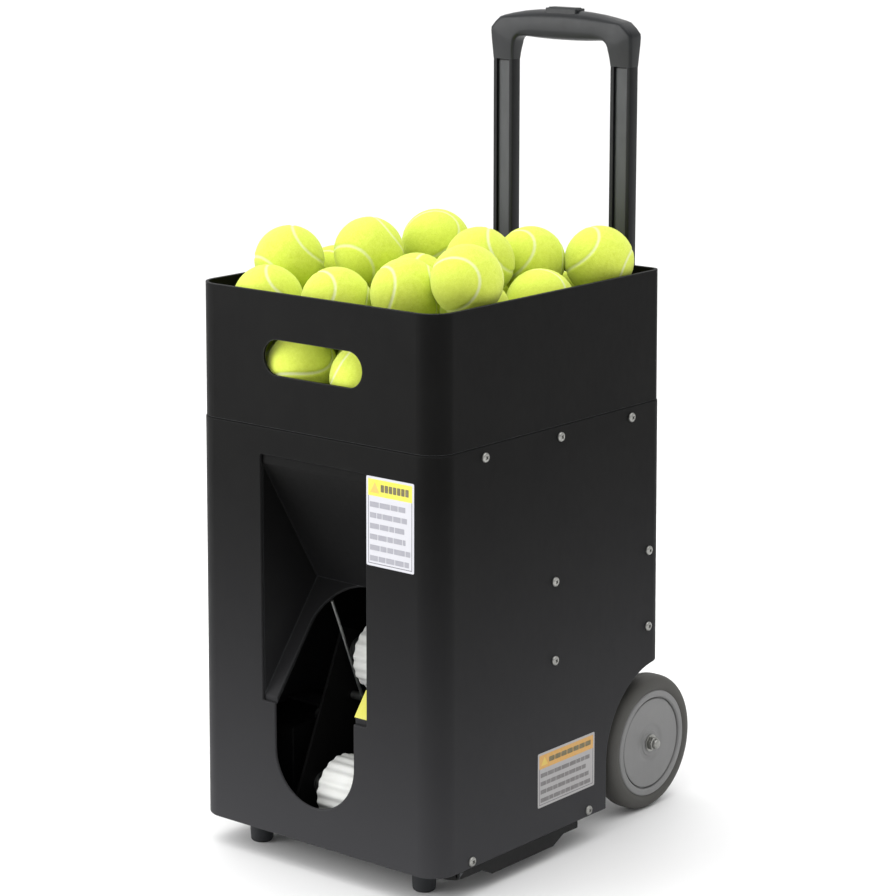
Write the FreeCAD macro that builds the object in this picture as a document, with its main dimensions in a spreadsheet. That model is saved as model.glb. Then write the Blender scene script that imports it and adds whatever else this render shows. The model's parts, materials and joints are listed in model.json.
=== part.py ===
import FreeCAD, Part
import math
import os
import re
import Sketcher
from FreeCAD import Placement, Rotation, Vector

# Portable tennis ball machine. Millimetres, +Z up, -Y is the side that throws, +X is the machine's right
# seen from its front. The origin is on the ground under the middle of its bounding box.
# Lengths in the calls below are: x from the middle, y back from the housing's front face at its bottom
# edge, z up from that bottom edge. Helpers add front_line and base_line, which put them in the frame.

SIZES = {
    # place of the housing in the frame
    "front_line": -212.4,
    "base_line": 29,
    # housing, and how far each side leans in for each millimetre of height
    "cabinet_width": 305,
    "cabinet_depth": 350,
    "seam_height": 400,
    "rim_height": 528.7,
    "draft_slope": 0.0057,
    "wall": 3,
    "front_corner": 25,
    "rear_corner": 12,
    "seam_ledge": 0.8,
    "slack": 0.3,
    # throwing window, its V-shaped recess and the slot that runs on below it
    "window_half": 65.5,
    "window_bottom": 132,
    "window_top": 373,
    "recess_depth": 80,
    "crease_height": 238,
    "slot_half": 49.5,
    "slot_bottom": 38,
    "arch_along": 84,
    # warning labels
    "front_label_left": 67,
    "front_label_right": 124,
    "front_label_bottom": 289,
    "front_label_top": 373,
    "side_label_near": 150,
    "side_label_far": 240,
    "side_label_bottom": 30.5,
    "side_label_top": 85,
    "sticker_left": 48.5,
    "sticker_right": 64,
    "sticker_start": 7,
    "sticker_length": 28,
    # hand slots
    "grasp_half": 61,
    "grasp_bottom": 450.5,
    "grasp_height": 34,
    # hopper floor and feeder
    "floor_height": 402,
    "floor_lip": 414,
    "bowl_radius": 119,
    "bowl_bottom": 352,
    "rotor_back": 172,
    "rotor_radius": 115,
    "pocket_reach": 74,
    "ball_hole": 38,
    "feed_shaft_radius": 5,
    # chute
    "chute_inner": 36,
    "chute_outer": 39,
    "chute_bend": 86,
    "chute_exit": 76,
    "chute_end": 145,
    # base pan and feet
    "pan_drop": 8,
    "pan_front": 28,
    "tray_drop": 16,
    "pan_end": 217,
    "foot_side": 104.5,
    "foot_back": 38,
    "foot_radius": 11,
    # road wheels
    "axle_back": 355.3,
    "axle_height": 40.5,
    "axle_radius": 5,
    "arch_back": 348,
    "arch_height": 46.2,
    "arch_radius": 87.6,
    "tyre_radius": 69.5,
    "tyre_half": 14,
    "hub_radius": 54.5,
    "wheel_middle": 125.5,
    "running_gap": 0.05,
    # telescopic handle
    "handle_side": 73.5,
    "handle_back": 382.25,
    "tube_wide": 25,
    "tube_deep": 12.5,
    "tube_gap": 0.4,
    "tube_wall": 1.5,
    "sleeve_bottom": 20,
    "sleeve_top": 400,
    "inner_bottom": 330,
    "grip_bottom": 717,
    "grip_under": 740,
    "grip_top": 769,
    "grip_half": 88,
    "grip_deep": 20,
    "button_half": 17,
    "button_rise": 2.5,
    # throwing head
    "head_back": 87.5,
    "head_height": 95.8,
    "upper_apart": 70.5,
    "lower_apart": 64.7,
    "roller_radius": 35,
    "roller_half": 22,
    "head_lean": 23.7,
    "plate_in": 46,
    "plate_thick": 3,
    "plate_deep": 68,
    "plate_tall": 176,
    "shaft_radius": 4,
    "pin_radius": 5,
    "chassis_in": 56,
    # control panel on the back
    "panel_half": 48,
    "panel_bottom": 200,
    "panel_top": 330,
    "panel_thick": 3,
    "knob_row": 296,
    "knob_apart": 30,
    "switch_row": 240,
    "lamp_row": 262,
}
ALIAS = re.compile(r"\b(" + "|".join(SIZES) + r")\b")
SIDES = {"left": -1, "right": 1}

doc = FreeCAD.newDocument("TennisBallMachine")
sheet = doc.addObject("Spreadsheet::Sheet", "Sizes")
for row, (alias, size) in enumerate(SIZES.items(), 1):
    sheet.set(f"A{row}", alias)
    sheet.set(f"B{row}", str(size))
    sheet.setAlias(f"B{row}", alias)
doc.recompute()
nodes = []


# ---------------------------------------------------------------- helpers

def bind(piece, sizes):
    """Bind each property in sizes to an expression of the sheet's aliases."""
    for name, text in sizes.items():
        piece.setExpression(name, ALIAS.sub(lambda found: "Sizes." + found.group(), str(text)))


def place(piece, x, y, z):
    bind(piece, {
        "Placement.Base.x": x,
        "Placement.Base.y": f"front_line + ({y})",
        "Placement.Base.z": f"base_line + ({z})",
    })


def node(label, piece):
    piece.Label = label
    nodes.append(piece)
    return piece


def box(name, x, y, z):
    piece = doc.addObject("Part::Box", name)
    bind(piece, {
        "Length": f"({x[1]}) - ({x[0]})",
        "Width": f"({y[1]}) - ({y[0]})",
        "Height": f"({z[1]}) - ({z[0]})",
    })
    place(piece, x[0], y[0], z[0])
    return piece


TURNS = {
    "X": Rotation(Vector(0, 0, 1), Vector(1, 0, 0)),
    "-X": Rotation(Vector(0, 0, 1), Vector(-1, 0, 0)),
    "Y": Rotation(Vector(0, 0, 1), Vector(0, 1, 0)),
    "Z": Rotation(),
    "-Z": Rotation(Vector(1, 0, 0), 180),
}


def rod(name, radius, length, start, axis="Z"):
    """A cylinder from start, length along axis."""
    piece = doc.addObject("Part::Cylinder", name)
    bind(piece, {"Radius": radius, "Height": length})
    piece.Placement = Placement(Vector(), TURNS[axis])
    place(piece, *start)
    return piece


def fuse(name, pieces):
    piece = doc.addObject("Part::MultiFuse", name)
    piece.Shapes = pieces
    piece.Refine = True
    return piece


def group(name, pieces):
    piece = doc.addObject("Part::Compound", name)
    piece.Links = pieces
    return piece


def cut(name, base, tools):
    piece = doc.addObject("Part::Cut", name)
    piece.Base = base
    piece.Tool = tools[0] if len(tools) == 1 else fuse(name + "_tools", tools)
    return piece


def plane(body, role):
    return next(feature for feature in body.Origin.OriginFeatures if feature.Role == role)


def outline(body, role, points):
    """A closed polygon on one of the body's origin planes, every corner bound to the sheet."""
    sketch = body.newObject("Sketcher::SketchObject", body.Name + "_outline")
    sketch.AttachmentSupport = [(plane(body, role), "")]
    sketch.MapMode = "FlatFace"
    count = len(points)
    rough = [Vector(30 * math.cos(2 * math.pi * k / count) + 40, 30 * math.sin(2 * math.pi * k / count), 0)
             for k in range(count)]
    for k in range(count):
        sketch.addGeometry(Part.LineSegment(rough[k], rough[(k + 1) % count]), False)
    for k in range(count):
        sketch.addConstraint(Sketcher.Constraint("Coincident", k, 2, (k + 1) % count, 1))
    for k, pair in enumerate(points):
        for kind, text, start in zip(("DistanceX", "DistanceY"), pair, rough[k]):
            if str(text) == "0":
                axis = -2 if kind == "DistanceX" else -1
                sketch.addConstraint(Sketcher.Constraint("PointOnObject", k, 1, axis))
                continue
            index = sketch.addConstraint(Sketcher.Constraint(kind, -1, 1, k, 1, start))
            bind(sketch, {f"Constraints[{index}]": text})
    return sketch


def slab(name, role, points, thickness, middle="0"):
    """A polygon padded evenly to both sides of the plane, which is moved to middle along its normal."""
    body = doc.addObject("PartDesign::Body", name)
    sketch = outline(body, role, points)
    bind(sketch, {"AttachmentOffset.Base.z": middle})
    pad = body.newObject("PartDesign::Pad", name + "_pad")
    pad.Profile = sketch
    pad.Midplane = True
    bind(pad, {"Length": thickness})
    body.Tip = pad
    return body


def turned(name, profile, start, axis):
    """A lathe-turned body: profile corners are (radius, height along the axis from start)."""
    body = doc.addObject("PartDesign::Body", name)
    sketch = outline(body, "XZ_Plane", profile)
    spin = body.newObject("PartDesign::Revolution", name + "_spin")
    spin.Profile = sketch
    spin.ReferenceAxis = (sketch, ["V_Axis"])
    spin.Angle = 360
    body.Tip = spin
    body.Placement = Placement(Vector(), TURNS[axis])
    place(body, *start)
    return body


def rounded(body, radius, chosen):
    """Fillet those edges of the body that chosen picks."""
    doc.recompute()
    tip = body.Tip
    names = [f"Edge{k}" for k, edge in enumerate(tip.Shape.Edges, 1) if chosen(edge)]
    fillet = body.newObject("PartDesign::Fillet", body.Name + "_round")
    fillet.Base = (tip, names)
    bind(fillet, {"Radius": radius})
    body.Tip = fillet
    return body


def back(offset):
    return f"front_line + ({offset})"


def up(offset):
    return f"base_line + ({offset})"


def tapered(name, inset, low, high, front_round, rear_round):
    """A block that leans in like the housing, inset by a distance from the housing's outside."""
    body = doc.addObject("PartDesign::Body", name)
    half = f"cabinet_width / 2 - draft_slope * ({low}) - ({inset})"
    near = back(f"draft_slope * ({low}) + ({inset})")
    far = back(f"cabinet_depth - draft_slope * ({low}) - ({inset})")
    corners = [(f"-({half})", near), (half, near), (half, far), (f"-({half})", far)]
    sketch = outline(body, "XY_Plane", corners)
    bind(sketch, {"AttachmentOffset.Base.z": up(low)})
    pad = body.newObject("PartDesign::Pad", name + "_pad")
    pad.Profile = sketch
    bind(pad, {"Length": f"({high}) - ({low})", "TaperAngle": "-atan(draft_slope)"})
    body.Tip = pad
    middle = SIZES["front_line"] + SIZES["cabinet_depth"] / 2

    def upright(edge):
        first, last = edge.Vertexes[0].Point, edge.Vertexes[-1].Point
        return abs(first.z - last.z) > 1

    def at(side):
        return lambda edge: upright(edge) and (edge.CenterOfMass.y - middle) * side > 0

    rounded(body, front_round, at(-1))
    rounded(body, rear_round, at(1))
    return body


def half_width(height):
    """The housing's half width at a height."""
    return f"(cabinet_width / 2 - draft_slope * ({height}))"


# ---------------------------------------------------------------- housing

def make_cabinet_shell():
    cutters = [
        tapered("cabinet_inside", "wall", -1, "seam_height + 1", "front_corner - wall", "rear_corner - wall"),
        box("window", ("-window_half", "window_half"), (-5, 10), ("window_bottom", "window_top")),
        box("slot", ("-slot_half", "slot_half"), (-5, 10), ("slot_bottom + slot_half", "window_bottom + 5")),
        rod("slot_round", "slot_half", 15, (0, -5, "slot_bottom + slot_half"), "Y"),
        rod("arch_round", "arch_radius", "cabinet_width + 20", ("-cabinet_width / 2 - 10", "arch_back",
            "arch_height"), "X"),
        box("arch_foot", ("-cabinet_width / 2 - 10", "cabinet_width / 2 + 10"),
            ("arch_back - arch_radius", "cabinet_depth + 10"), (-5, "arch_height")),
        box("panel_cutout", (-42, 42), ("cabinet_depth - 12", "cabinet_depth + 5"), (206, 324)),
    ]
    outside = tapered("cabinet_outside", 0, 0, "seam_height", "front_corner", "rear_corner")
    node("cabinet_shell", cut("cabinet", outside, cutters))


def make_muzzle_recess():
    """A moulded V: an upper slope, a lower slope with the arch cut square through it, two cheeks."""
    run = SIZES["crease_height"] - SIZES["window_bottom"]
    lean = math.degrees(math.atan2(SIZES["recess_depth"], run))
    sine, cosine = math.sin(math.radians(lean)), math.cos(math.radians(lean))
    behind = "wall + running_gap + draft_slope"
    outer = slab("recess_outer", "YZ_Plane", [
        (back(f"{behind} * (window_top + 6)"), up("window_top + 6")),
        (back("recess_depth + 4"), up("crease_height")),
        (back(f"{behind} * (window_bottom - 2)"), up("window_bottom - 2")),
    ], "2 * (window_half + wall)")
    slope = "(window_top - crease_height) / recess_depth"
    rise = "(crease_height - window_bottom) / recess_depth"
    inner = slab("recess_inner", "YZ_Plane", [
        (back("-4"), up(f"window_top + 4 * {slope}")),
        (back("recess_depth"), up("crease_height")),
        (back("-4"), up(f"window_bottom - 4 * {rise}")),
    ], "2 * window_half")
    arch = rod("recess_arch", "slot_half", 60, (0, f"arch_along * {sine} + 30 * {cosine}",
               f"window_bottom + arch_along * {cosine} - 30 * {sine}"))
    arch.Placement = Placement(arch.Placement.Base, Rotation(Vector(1, 0, 0), 90 - lean))
    shaft = box("recess_shaft", ("-slot_half", "slot_half"), (0, 1), (0, 1))
    bind(shaft, {"Width": 120, "Height": 60})
    shaft.Placement = Placement(Vector(), Rotation(Vector(1, 0, 0), 90 - lean))
    place(shaft, "-slot_half", f"(arch_along - 120) * {sine} + 30 * {cosine}",
          f"window_bottom + (arch_along - 120) * {cosine} - 30 * {sine}")
    node("muzzle_recess", cut("recess", outer, [inner, arch, shaft]))


def make_hopper():
    rim_round, skirt_round = "front_corner - seam_ledge", "front_corner - wall - slack"
    outside = fuse("hopper_outside", [
        tapered("hopper_wall", "seam_ledge", "seam_height + 0.2", "rim_height", rim_round,
                "rear_corner - seam_ledge"),
        tapered("hopper_skirt", "wall + slack", "seam_height - 18", "seam_height + 0.2", skirt_round,
                "rear_corner - wall"),
    ])
    reach = "grasp_half - grasp_height / 2"
    middle = "grasp_bottom + grasp_height / 2"
    cutters = [
        tapered("hopper_inside", "seam_ledge + wall", "floor_height", "rim_height + 2",
                "front_corner - wall - seam_ledge", "rear_corner - wall - seam_ledge"),
        tapered("hopper_throat", "2 * wall + slack", "seam_height - 28", "floor_height + 1",
                "front_corner - 2 * wall - slack", "rear_corner - 2 * wall - slack"),
        box("grasp_slot", (f"-({reach})", reach), (-10, "cabinet_depth + 10"),
            ("grasp_bottom", "grasp_bottom + grasp_height")),
        rod("grasp_left", "grasp_height / 2", "cabinet_depth + 20", (f"-({reach})", -10, middle), "Y"),
        rod("grasp_right", "grasp_height / 2", "cabinet_depth + 20", (reach, -10, middle), "Y"),
    ]
    node("hopper_shell", cut("hopper", outside, cutters))


def make_hopper_floor():
    dish = doc.addObject("Part::Cone", "floor_dish")
    bind(dish, {"Radius1": "bowl_radius", "Radius2": "bowl_radius + 95", "Height": 9.6})
    place(dish, 0, "rotor_back", "floor_height + 2.5")
    solid = fuse("floor_solid", [
        tapered("floor_plate", "seam_ledge + wall + slack", "floor_height", "floor_lip",
                "front_corner - wall - 1.2", "rear_corner - wall - 1.2"),
        rod("bowl_outside", "bowl_radius + wall", "floor_height + 1 - bowl_bottom", (0, "rotor_back",
            "bowl_bottom")),
    ])
    cutters = [
        dish,
        rod("bowl_inside", "bowl_radius", 60, (0, "rotor_back", "bowl_bottom + wall")),
        rod("drop_hole", "ball_hole", 20, (0, "rotor_back + pocket_reach", "bowl_bottom - 5")),
        rod("feed_hole", "feed_shaft_radius + 1", 20, (0, "rotor_back", "bowl_bottom - 5")),
    ]
    node("hopper_floor", cut("floor", solid, cutters))


def make_base_pan():
    """The tray that closes the bottom: a flange inside the housing, a skirt, and a deeper middle."""
    def plate(name, half, near, far, low, high, corner):
        """A level plate with rounded front corners."""
        body = slab(name, "XY_Plane", [
            (f"-({half})", back(near)), (half, back(near)), (half, back(far)), (f"-({half})", back(far)),
        ], f"({high}) - ({low})", up(f"(({high}) + ({low})) / 2"))
        middle = SIZES["front_line"] + 100
        return rounded(body, corner, lambda edge: abs(edge.Vertexes[0].Z - edge.Vertexes[-1].Z) > 1
                       and edge.CenterOfMass.y < middle)

    inside_end = "arch_back - arch_radius - wall - slack"
    rim = "cabinet_width / 2 - 2"
    hollow = "cabinet_width / 2 - 2 * wall - slack"
    flange = plate("pan_flange", "cabinet_width / 2 - wall - slack", "wall + slack", inside_end, "-slack", 14,
                   "front_corner - wall - slack")
    skirt = plate("pan_skirt", rim, "pan_front", "pan_end", "-pan_drop", "-slack", 12)
    tray = slab("pan_tray", "YZ_Plane", [
        (back(66), up("-pan_drop + 1")),
        (back(84), up("-tray_drop")),
        (back(178), up("-tray_drop")),
        (back(196), up("-pan_drop + 1")),
    ], f"2 * ({rim})")
    cutters = [
        plate("pan_front_hollow", hollow, "2 * wall + slack", "pan_end - wall", "wall", 20,
              "front_corner - 2 * wall - slack"),
        plate("pan_deep_hollow", hollow, "pan_front + wall", "pan_end - wall", "wall - pan_drop", 12, 9),
        box("pan_rear_hollow", (f"-({hollow})", hollow),
            ("pan_end - wall - 1", "arch_back - arch_radius - 7"), ("wall", 20)),
        box("pan_tray_hollow", ("-cabinet_width / 2 + 12", "cabinet_width / 2 - 12"), (92, 172),
            ("wall - tray_drop", 0)),
    ]
    node("base_pan", cut("pan", fuse("pan_solid", [flange, skirt, tray]), cutters))


def make_arch_liner():
    """A curved inner wall over the road wheels that closes the housing's notch."""
    edge = half_width("arch_height + arch_radius + 5") + " - wall - slack"
    width = (f"-({edge})", edge)
    ring = cut("liner_ring", rod("liner_outer", "arch_radius + wall", f"2 * ({edge})",
               (f"-({edge})", "arch_back", "arch_height"), "X"),
               [rod("liner_inner", "arch_radius", "cabinet_width", ("-cabinet_width / 2", "arch_back",
                "arch_height"), "X")])
    arc = doc.addObject("Part::Common", "liner_arc")
    arc.Base = ring
    high = ("arch_height", "arch_height + arch_radius + 5")
    round_start = "cabinet_depth - rear_corner - 1"
    rear_edge = "cabinet_width / 2 - rear_corner - 4"
    arc.Tool = fuse("liner_quarter", [
        box("liner_quarter_wide", width, ("arch_back - arch_radius - 5", round_start), high),
        box("liner_quarter_rear", (f"-({rear_edge})", rear_edge), (round_start, "cabinet_depth - wall - 1.3"),
            high),
    ])
    wall_part = box("liner_front", width, ("arch_back - arch_radius - wall", "arch_back - arch_radius"),
                    (0, "arch_height"))
    node("wheel_arch_liner", fuse("liner", [arc, wall_part]))


def make_labels():
    """Thin plain plates that lean with the housing's faces."""
    lean = math.degrees(math.atan(SIZES["draft_slope"]))
    front = box("front_label_plate", ("front_label_left", "front_label_right"), (0, 0.5),
                ("front_label_bottom", "front_label_top"))
    front.Placement = Placement(Vector(), Rotation(Vector(1, 0, 0), -lean))
    place(front, "front_label_left", "draft_slope * front_label_bottom - 0.55", "front_label_bottom")
    node("front_label", front)
    side = box("side_label_plate", (0, 0.5), ("side_label_near", "side_label_far"),
               ("side_label_bottom", "side_label_top"))
    side.Placement = Placement(Vector(), Rotation(Vector(0, 1, 0), -lean))
    place(side, half_width("side_label_bottom") + " + 0.05", "side_label_near", "side_label_bottom")
    node("side_label", side)
    run = SIZES["crease_height"] - SIZES["window_bottom"]
    slope = math.atan2(SIZES["recess_depth"], run)
    sticker = box("sticker_plate", ("sticker_left", "sticker_right"), (-0.55, -0.05), (0, "sticker_length"))
    sticker.Placement = Placement(Vector(), Rotation(Vector(1, 0, 0), -math.degrees(slope)))
    place(sticker, "sticker_left", f"sticker_start * {math.sin(slope)} - 0.5",
          f"window_bottom + sticker_start * {math.cos(slope)} + 0.4")
    node("muzzle_sticker", sticker)


SCREW_PLACES = [(70.8, 389.3), (183.9, 389.3), (296.5, 389.3), (176, 250.1), (327.6, 250.1),
                (176, 172.4), (327.6, 172.4), (50.1, 6.8), (231, 6.8)]


def make_side_screws():
    screws = []
    for side, sign in SIDES.items():
        for k, (depth, height) in enumerate(SCREW_PLACES):
            screws.append(turned(f"screw_{side}_{k}", [
                ("0", -7), (2, -7), (2, "0"), (4.8, "0"), (4.5, 1.3), (3, 2.2), ("0", 2.5),
            ], (f"{sign} * ({half_width(height)} + 0.02)", depth, height), "X" if sign > 0 else "-X"))
    node("side_screws", group("screws", screws))


def make_feet():
    feet, screws = [], []
    for side, sign in SIDES.items():
        at = (f"{sign} * foot_side", "foot_back")
        feet.append(turned(f"foot_{side}", [
            (2.6, "pan_drop"), ("foot_radius + 1", "pan_drop"), ("foot_radius", "base_line - 2"),
            ("foot_radius - 1.5", "base_line"), (6, "base_line"), (6, "base_line - 6"),
            (2.6, "base_line - 6"),
        ], (*at, 0), "-Z"))
        screws.append(turned(f"foot_screw_{side}", [
            ("0", "pan_drop - 6"), (2.5, "pan_drop - 6"), (2.5, "base_line - 6"), (5, "base_line - 6"),
            (5, "base_line - 3"), ("0", "base_line - 3"),
        ], (*at, 0), "-Z"))
    node("front_feet", group("feet", feet))
    node("foot_screws", group("feet_screws", screws))


# ---------------------------------------------------------------- road wheels

def make_axle():
    rod_end = "wheel_middle + 20"
    node("wheel_axle", rod("axle_rod", "axle_radius", f"2 * ({rod_end})", (f"-({rod_end})", "axle_back",
         "axle_height"), "X"))
    nuts, spacers, brackets = [], [], []
    for side, sign in SIDES.items():
        axis = "X" if sign > 0 else "-X"
        nuts.append(turned(f"nut_{side}", [
            ("axle_radius", "0"), (9, "0"), (9, 1.4), (7, 1.4), (7, 5.6), (6.2, 7.6), (4, 9.6),
            ("0", 10.4), ("0", 8.2), ("axle_radius", 8.2),
        ], (f"{sign} * (wheel_middle + 11.8)", "axle_back", "axle_height"), axis))
        spacers.append(turned(f"spacer_{side}", [
            ("axle_radius", "0"), (9, "0"), (9, 9), ("axle_radius", 9),
        ], (f"{sign} * (wheel_middle - 25.3)", "axle_back", "axle_height"), axis))
        reach = sorted((f"{sign * 96}", f"{sign * 100}"), key=float)
        flange = sorted((f"{sign * 76}", f"{sign * 96}"), key=float)
        cheek = box(f"cheek_{side}", reach, ("arch_back - arch_radius + 2", "handle_back - 8.5"), (8, 60))
        toe = box(f"toe_{side}", flange, ("arch_back - arch_radius + slack", "arch_back - arch_radius + 4"),
                  (8, 44))
        web = box(f"web_{side}", reach, ("arch_back - arch_radius + slack", "arch_back - arch_radius + 3"),
                  (8, 44))
        brackets.append(cut(f"bracket_{side}", fuse(f"bracket_solid_{side}", [cheek, web, toe]), [
            rod(f"bracket_bore_{side}", "axle_radius", 20, (f"{sign * 98 - 10}", "axle_back", "axle_height"),
                "X")]))
    node("axle_nuts", group("nuts", nuts))
    node("axle_spacers", group("spacers", spacers))
    node("axle_brackets", group("brackets", brackets))


def make_road_wheel(side, sign):
    start = (f"{sign} * wheel_middle", "axle_back", "axle_height")
    axis = "X" if sign > 0 else "-X"
    node(f"wheel_hub_{side}", turned(f"hub_{side}", [
        ("axle_radius + running_gap", -16), (14, -16), (14, 5), (43, 5), (46, -12), ("hub_radius", -12),
        ("hub_radius", 12.5), (53, 13.6), (48.5, 13.6), (47.2, 12), (47.2, 9.5), (45.8, 9.5), (45.8, 11.8),
        (18, 11.2), (13, 11.5), ("axle_radius + running_gap", 11.5),
    ], start, axis))
    node(f"tyre_{side}", turned(f"rubber_{side}", [
        ("hub_radius", -12), (57, "-tyre_half + 1"), (62, "-tyre_half"), (66.5, "-tyre_half + 1.8"),
        ("tyre_radius - 0.6", "-tyre_half + 5"), ("tyre_radius", "-tyre_half + 8"),
        ("tyre_radius", "tyre_half - 8"), ("tyre_radius - 0.6", "tyre_half - 5"),
        (66.5, "tyre_half - 1.8"), (62, "tyre_half"), (57, "tyre_half - 0.6"), ("hub_radius", 12.5),
    ], start, axis))


# ---------------------------------------------------------------- telescopic handle

def tube(name, sign, wide, deep, low, high, hollow):
    """A rectangular tube, or a solid bar where hollow is None."""
    def bar(part, width, depth, bottom, top):
        return box(part, (f"{sign} * handle_side - ({width}) / 2", f"{sign} * handle_side + ({width}) / 2"),
                   (f"handle_back - ({depth}) / 2", f"handle_back + ({depth}) / 2"), (bottom, top))
    outer = bar(name + "_outer", wide, deep, low, high)
    inner = bar(name + "_inner", hollow[0], hollow[1], f"({low}) - 5", f"({high}) + 5")
    return cut(name + "_cut", outer, [inner])


def make_handle():
    sleeve_wide = "tube_wide + 2 * tube_gap"
    sleeve_deep = "tube_deep + 2 * tube_gap"
    collars = []
    for side, sign in SIDES.items():
        node(f"handle_tube_{side}", tube(f"sleeve_{side}", sign, f"{sleeve_wide} + 2 * tube_wall",
             f"{sleeve_deep} + 2 * tube_wall", "sleeve_bottom", "sleeve_top", (sleeve_wide, sleeve_deep)))
        node(f"inner_tube_{side}", tube(f"stem_{side}", sign, "tube_wide", "tube_deep", "inner_bottom",
             "grip_under - 6", ("tube_wide - 2 * tube_wall", "tube_deep - 2 * tube_wall")))
        collars.append(tube(f"collar_{side}", sign, f"{sleeve_wide} + 7", f"{sleeve_deep} + 7", "sleeve_top",
                            "sleeve_top + 12", (sleeve_wide, sleeve_deep)))
    node("handle_collars", group("collars", collars))
    beams = [box(f"beam_{k}", (-92, 92), ("cabinet_depth - draft_slope * " + low, "handle_back - 8.15"),
                 (low, high)) for k, (low, high) in enumerate((("150", "172"), ("362", "384")))]
    node("handle_beams", group("beams", beams))
    cross = box("cross", (-95.7, 95.7), ("handle_back - 12", "handle_back - 8.3"), (20, 60))
    node("rear_cross_member", cross)

    inner_edge = "handle_side - tube_wide / 2 + 0.5"
    half = [
        ("grip_half", "grip_bottom"), ("grip_half", "grip_top - 21"), ("grip_half - 12", "grip_top - 8"),
        (24, "grip_top"),
    ]
    under = [(f"{inner_edge} - 8", "grip_under"), (inner_edge, "grip_under - 9"), (inner_edge, "grip_bottom")]
    right = [(x, up(z)) for x, z in half]
    left = [(f"-({x})", up(z)) for x, z in half]
    under_right = [(x, up(z)) for x, z in under]
    under_left = [(f"-({x})", up(z)) for x, z in under]
    points = left + right[::-1] + under_right[::-1] + under_left
    grip = slab("grip_body", "XZ_Plane", points, "grip_deep", "-(front_line + handle_back)")

    def long_and_level(edge):
        return edge.Length > 24 and abs(edge.Vertexes[0].Y - edge.Vertexes[-1].Y) < 0.1

    rounded(grip, 2.5, long_and_level)
    cutters = [box("button_well", ("-button_half - 0.4", "button_half + 0.4"),
                   ("handle_back - 5.4", "handle_back + 5.4"), ("grip_top - 9", "grip_top + 9"))]
    for side, sign in SIDES.items():
        middle = f"{sign} * handle_side"
        cutters.append(box(f"socket_{side}", (f"{middle} - tube_wide / 2", f"{middle} + tube_wide / 2"),
                           ("handle_back - tube_deep / 2", "handle_back + tube_deep / 2"),
                           ("grip_bottom - 1", "grip_under - 6")))
    node("handle_grip", cut("grip", grip, cutters))
    node("handle_button", box("button", ("-button_half", "button_half"),
         ("handle_back - 5", "handle_back + 5"), ("grip_top - 4", "grip_top + button_rise")))


# ---------------------------------------------------------------- throwing head

def roller_place(sign):
    """Depth and height of the upper (1) or lower (-1) throwing wheel's centre."""
    lean = math.radians(SIZES["head_lean"])
    apart = "upper_apart" if sign > 0 else "lower_apart"
    return (f"head_back + {sign * math.sin(lean)} * {apart}",
            f"head_height + {sign * math.cos(lean)} * {apart}")


def make_head():
    lean = SIZES["head_lean"]
    bearings, spacers, pins, bushes, bars = [], [], [], [], []
    for side, sign in SIDES.items():
        low = "plate_in" if sign > 0 else "-plate_in - plate_thick"
        plate = box(f"head_plate_{side}_solid", (low, f"{low} + plate_thick"), (0, "plate_deep"),
                    (0, "plate_tall"))
        angle = math.radians(lean)
        ahead, below = 30, SIZES["plate_tall"] / 2
        plate.Placement = Placement(Vector(), Rotation(Vector(1, 0, 0), -lean))
        place(plate, low, f"head_back - {ahead * math.cos(angle) + below * math.sin(angle)}",
              f"head_height + {ahead * math.sin(angle) - below * math.cos(angle)}")
        bores = [rod(f"seat_{side}_{end}", 11, "plate_thick + 2", (f"{low} - 1", *roller_place(end)), "X")
                 for end in (-1, 1)]
        node(f"head_plate_{side}", cut(f"head_cut_{side}", plate, bores))
        for end in (-1, 1):
            name = f"{side}_{end}"
            inner = "plate_in - 2" if sign > 0 else "-plate_in - 5"
            outside = rod(f"bearing_outer_{name}", 11, 7, (inner, *roller_place(end)), "X")
            bore = rod(f"bearing_bore_{name}", "shaft_radius + running_gap", 9,
                       (f"{inner} - 1", *roller_place(end)), "X")
            bearings.append(cut(f"bearing_{name}", outside, [bore]))
        axis = "X" if sign > 0 else "-X"
        pins.append(turned(f"pin_{side}", [
            ("0", "0"), (12, "0"), (12, 3), ("pin_radius", 3), ("pin_radius", 24), ("0", 24),
        ], (f"{sign} * (plate_in + plate_thick)", "head_back", "head_height"), axis))
        bushes.append(turned(f"bush_{side}", [
            ("pin_radius + running_gap", -1), (10, -1), (10, "0"), (7.5, "0"), (7.5, 3),
            ("pin_radius + running_gap", 3),
        ], (f"{sign} * chassis_in", "head_back", "head_height"), axis))
        bars.append(bar_between(f"bar_{side}", sign * 34, (109, 115), (66, 222)))
        bars.append(rod(f"bar_stud_{side}", 4, 12.5, (f"{33.5 if sign > 0 else -46}", 109, 115), "X"))
    node("head_bearings", group("bearings", bearings))
    for k, (depth, height) in enumerate(((101.5, 48.1), (132.1, 117.7))):
        spacers.append(rod(f"spacer_rod_{k}", 4, "2 * plate_in", ("-plate_in", depth, height), "X"))
    node("pivot_pins", group("pins", pins))
    node("pivot_bushes", group("bushes", bushes))
    fused = [fuse(f"bar_with_stud_{k}", bars[2 * k:2 * k + 2]) for k in range(2)]
    node("stripper_bars", group("strippers", fused))
    node("head_spacers", group("head_ties", spacers))


def bar_between(name, x, low, high):
    """A straight round bar in one plane across the machine, from low to high (depth, height)."""
    run, rise = high[0] - low[0], high[1] - low[1]
    piece = rod(name, 1.6, math.hypot(run, rise), (x, *low))
    piece.Placement = Placement(Vector(), Rotation(Vector(0, 0, 1), Vector(0, run, rise)))
    place(piece, x, *low)
    return piece


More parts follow.
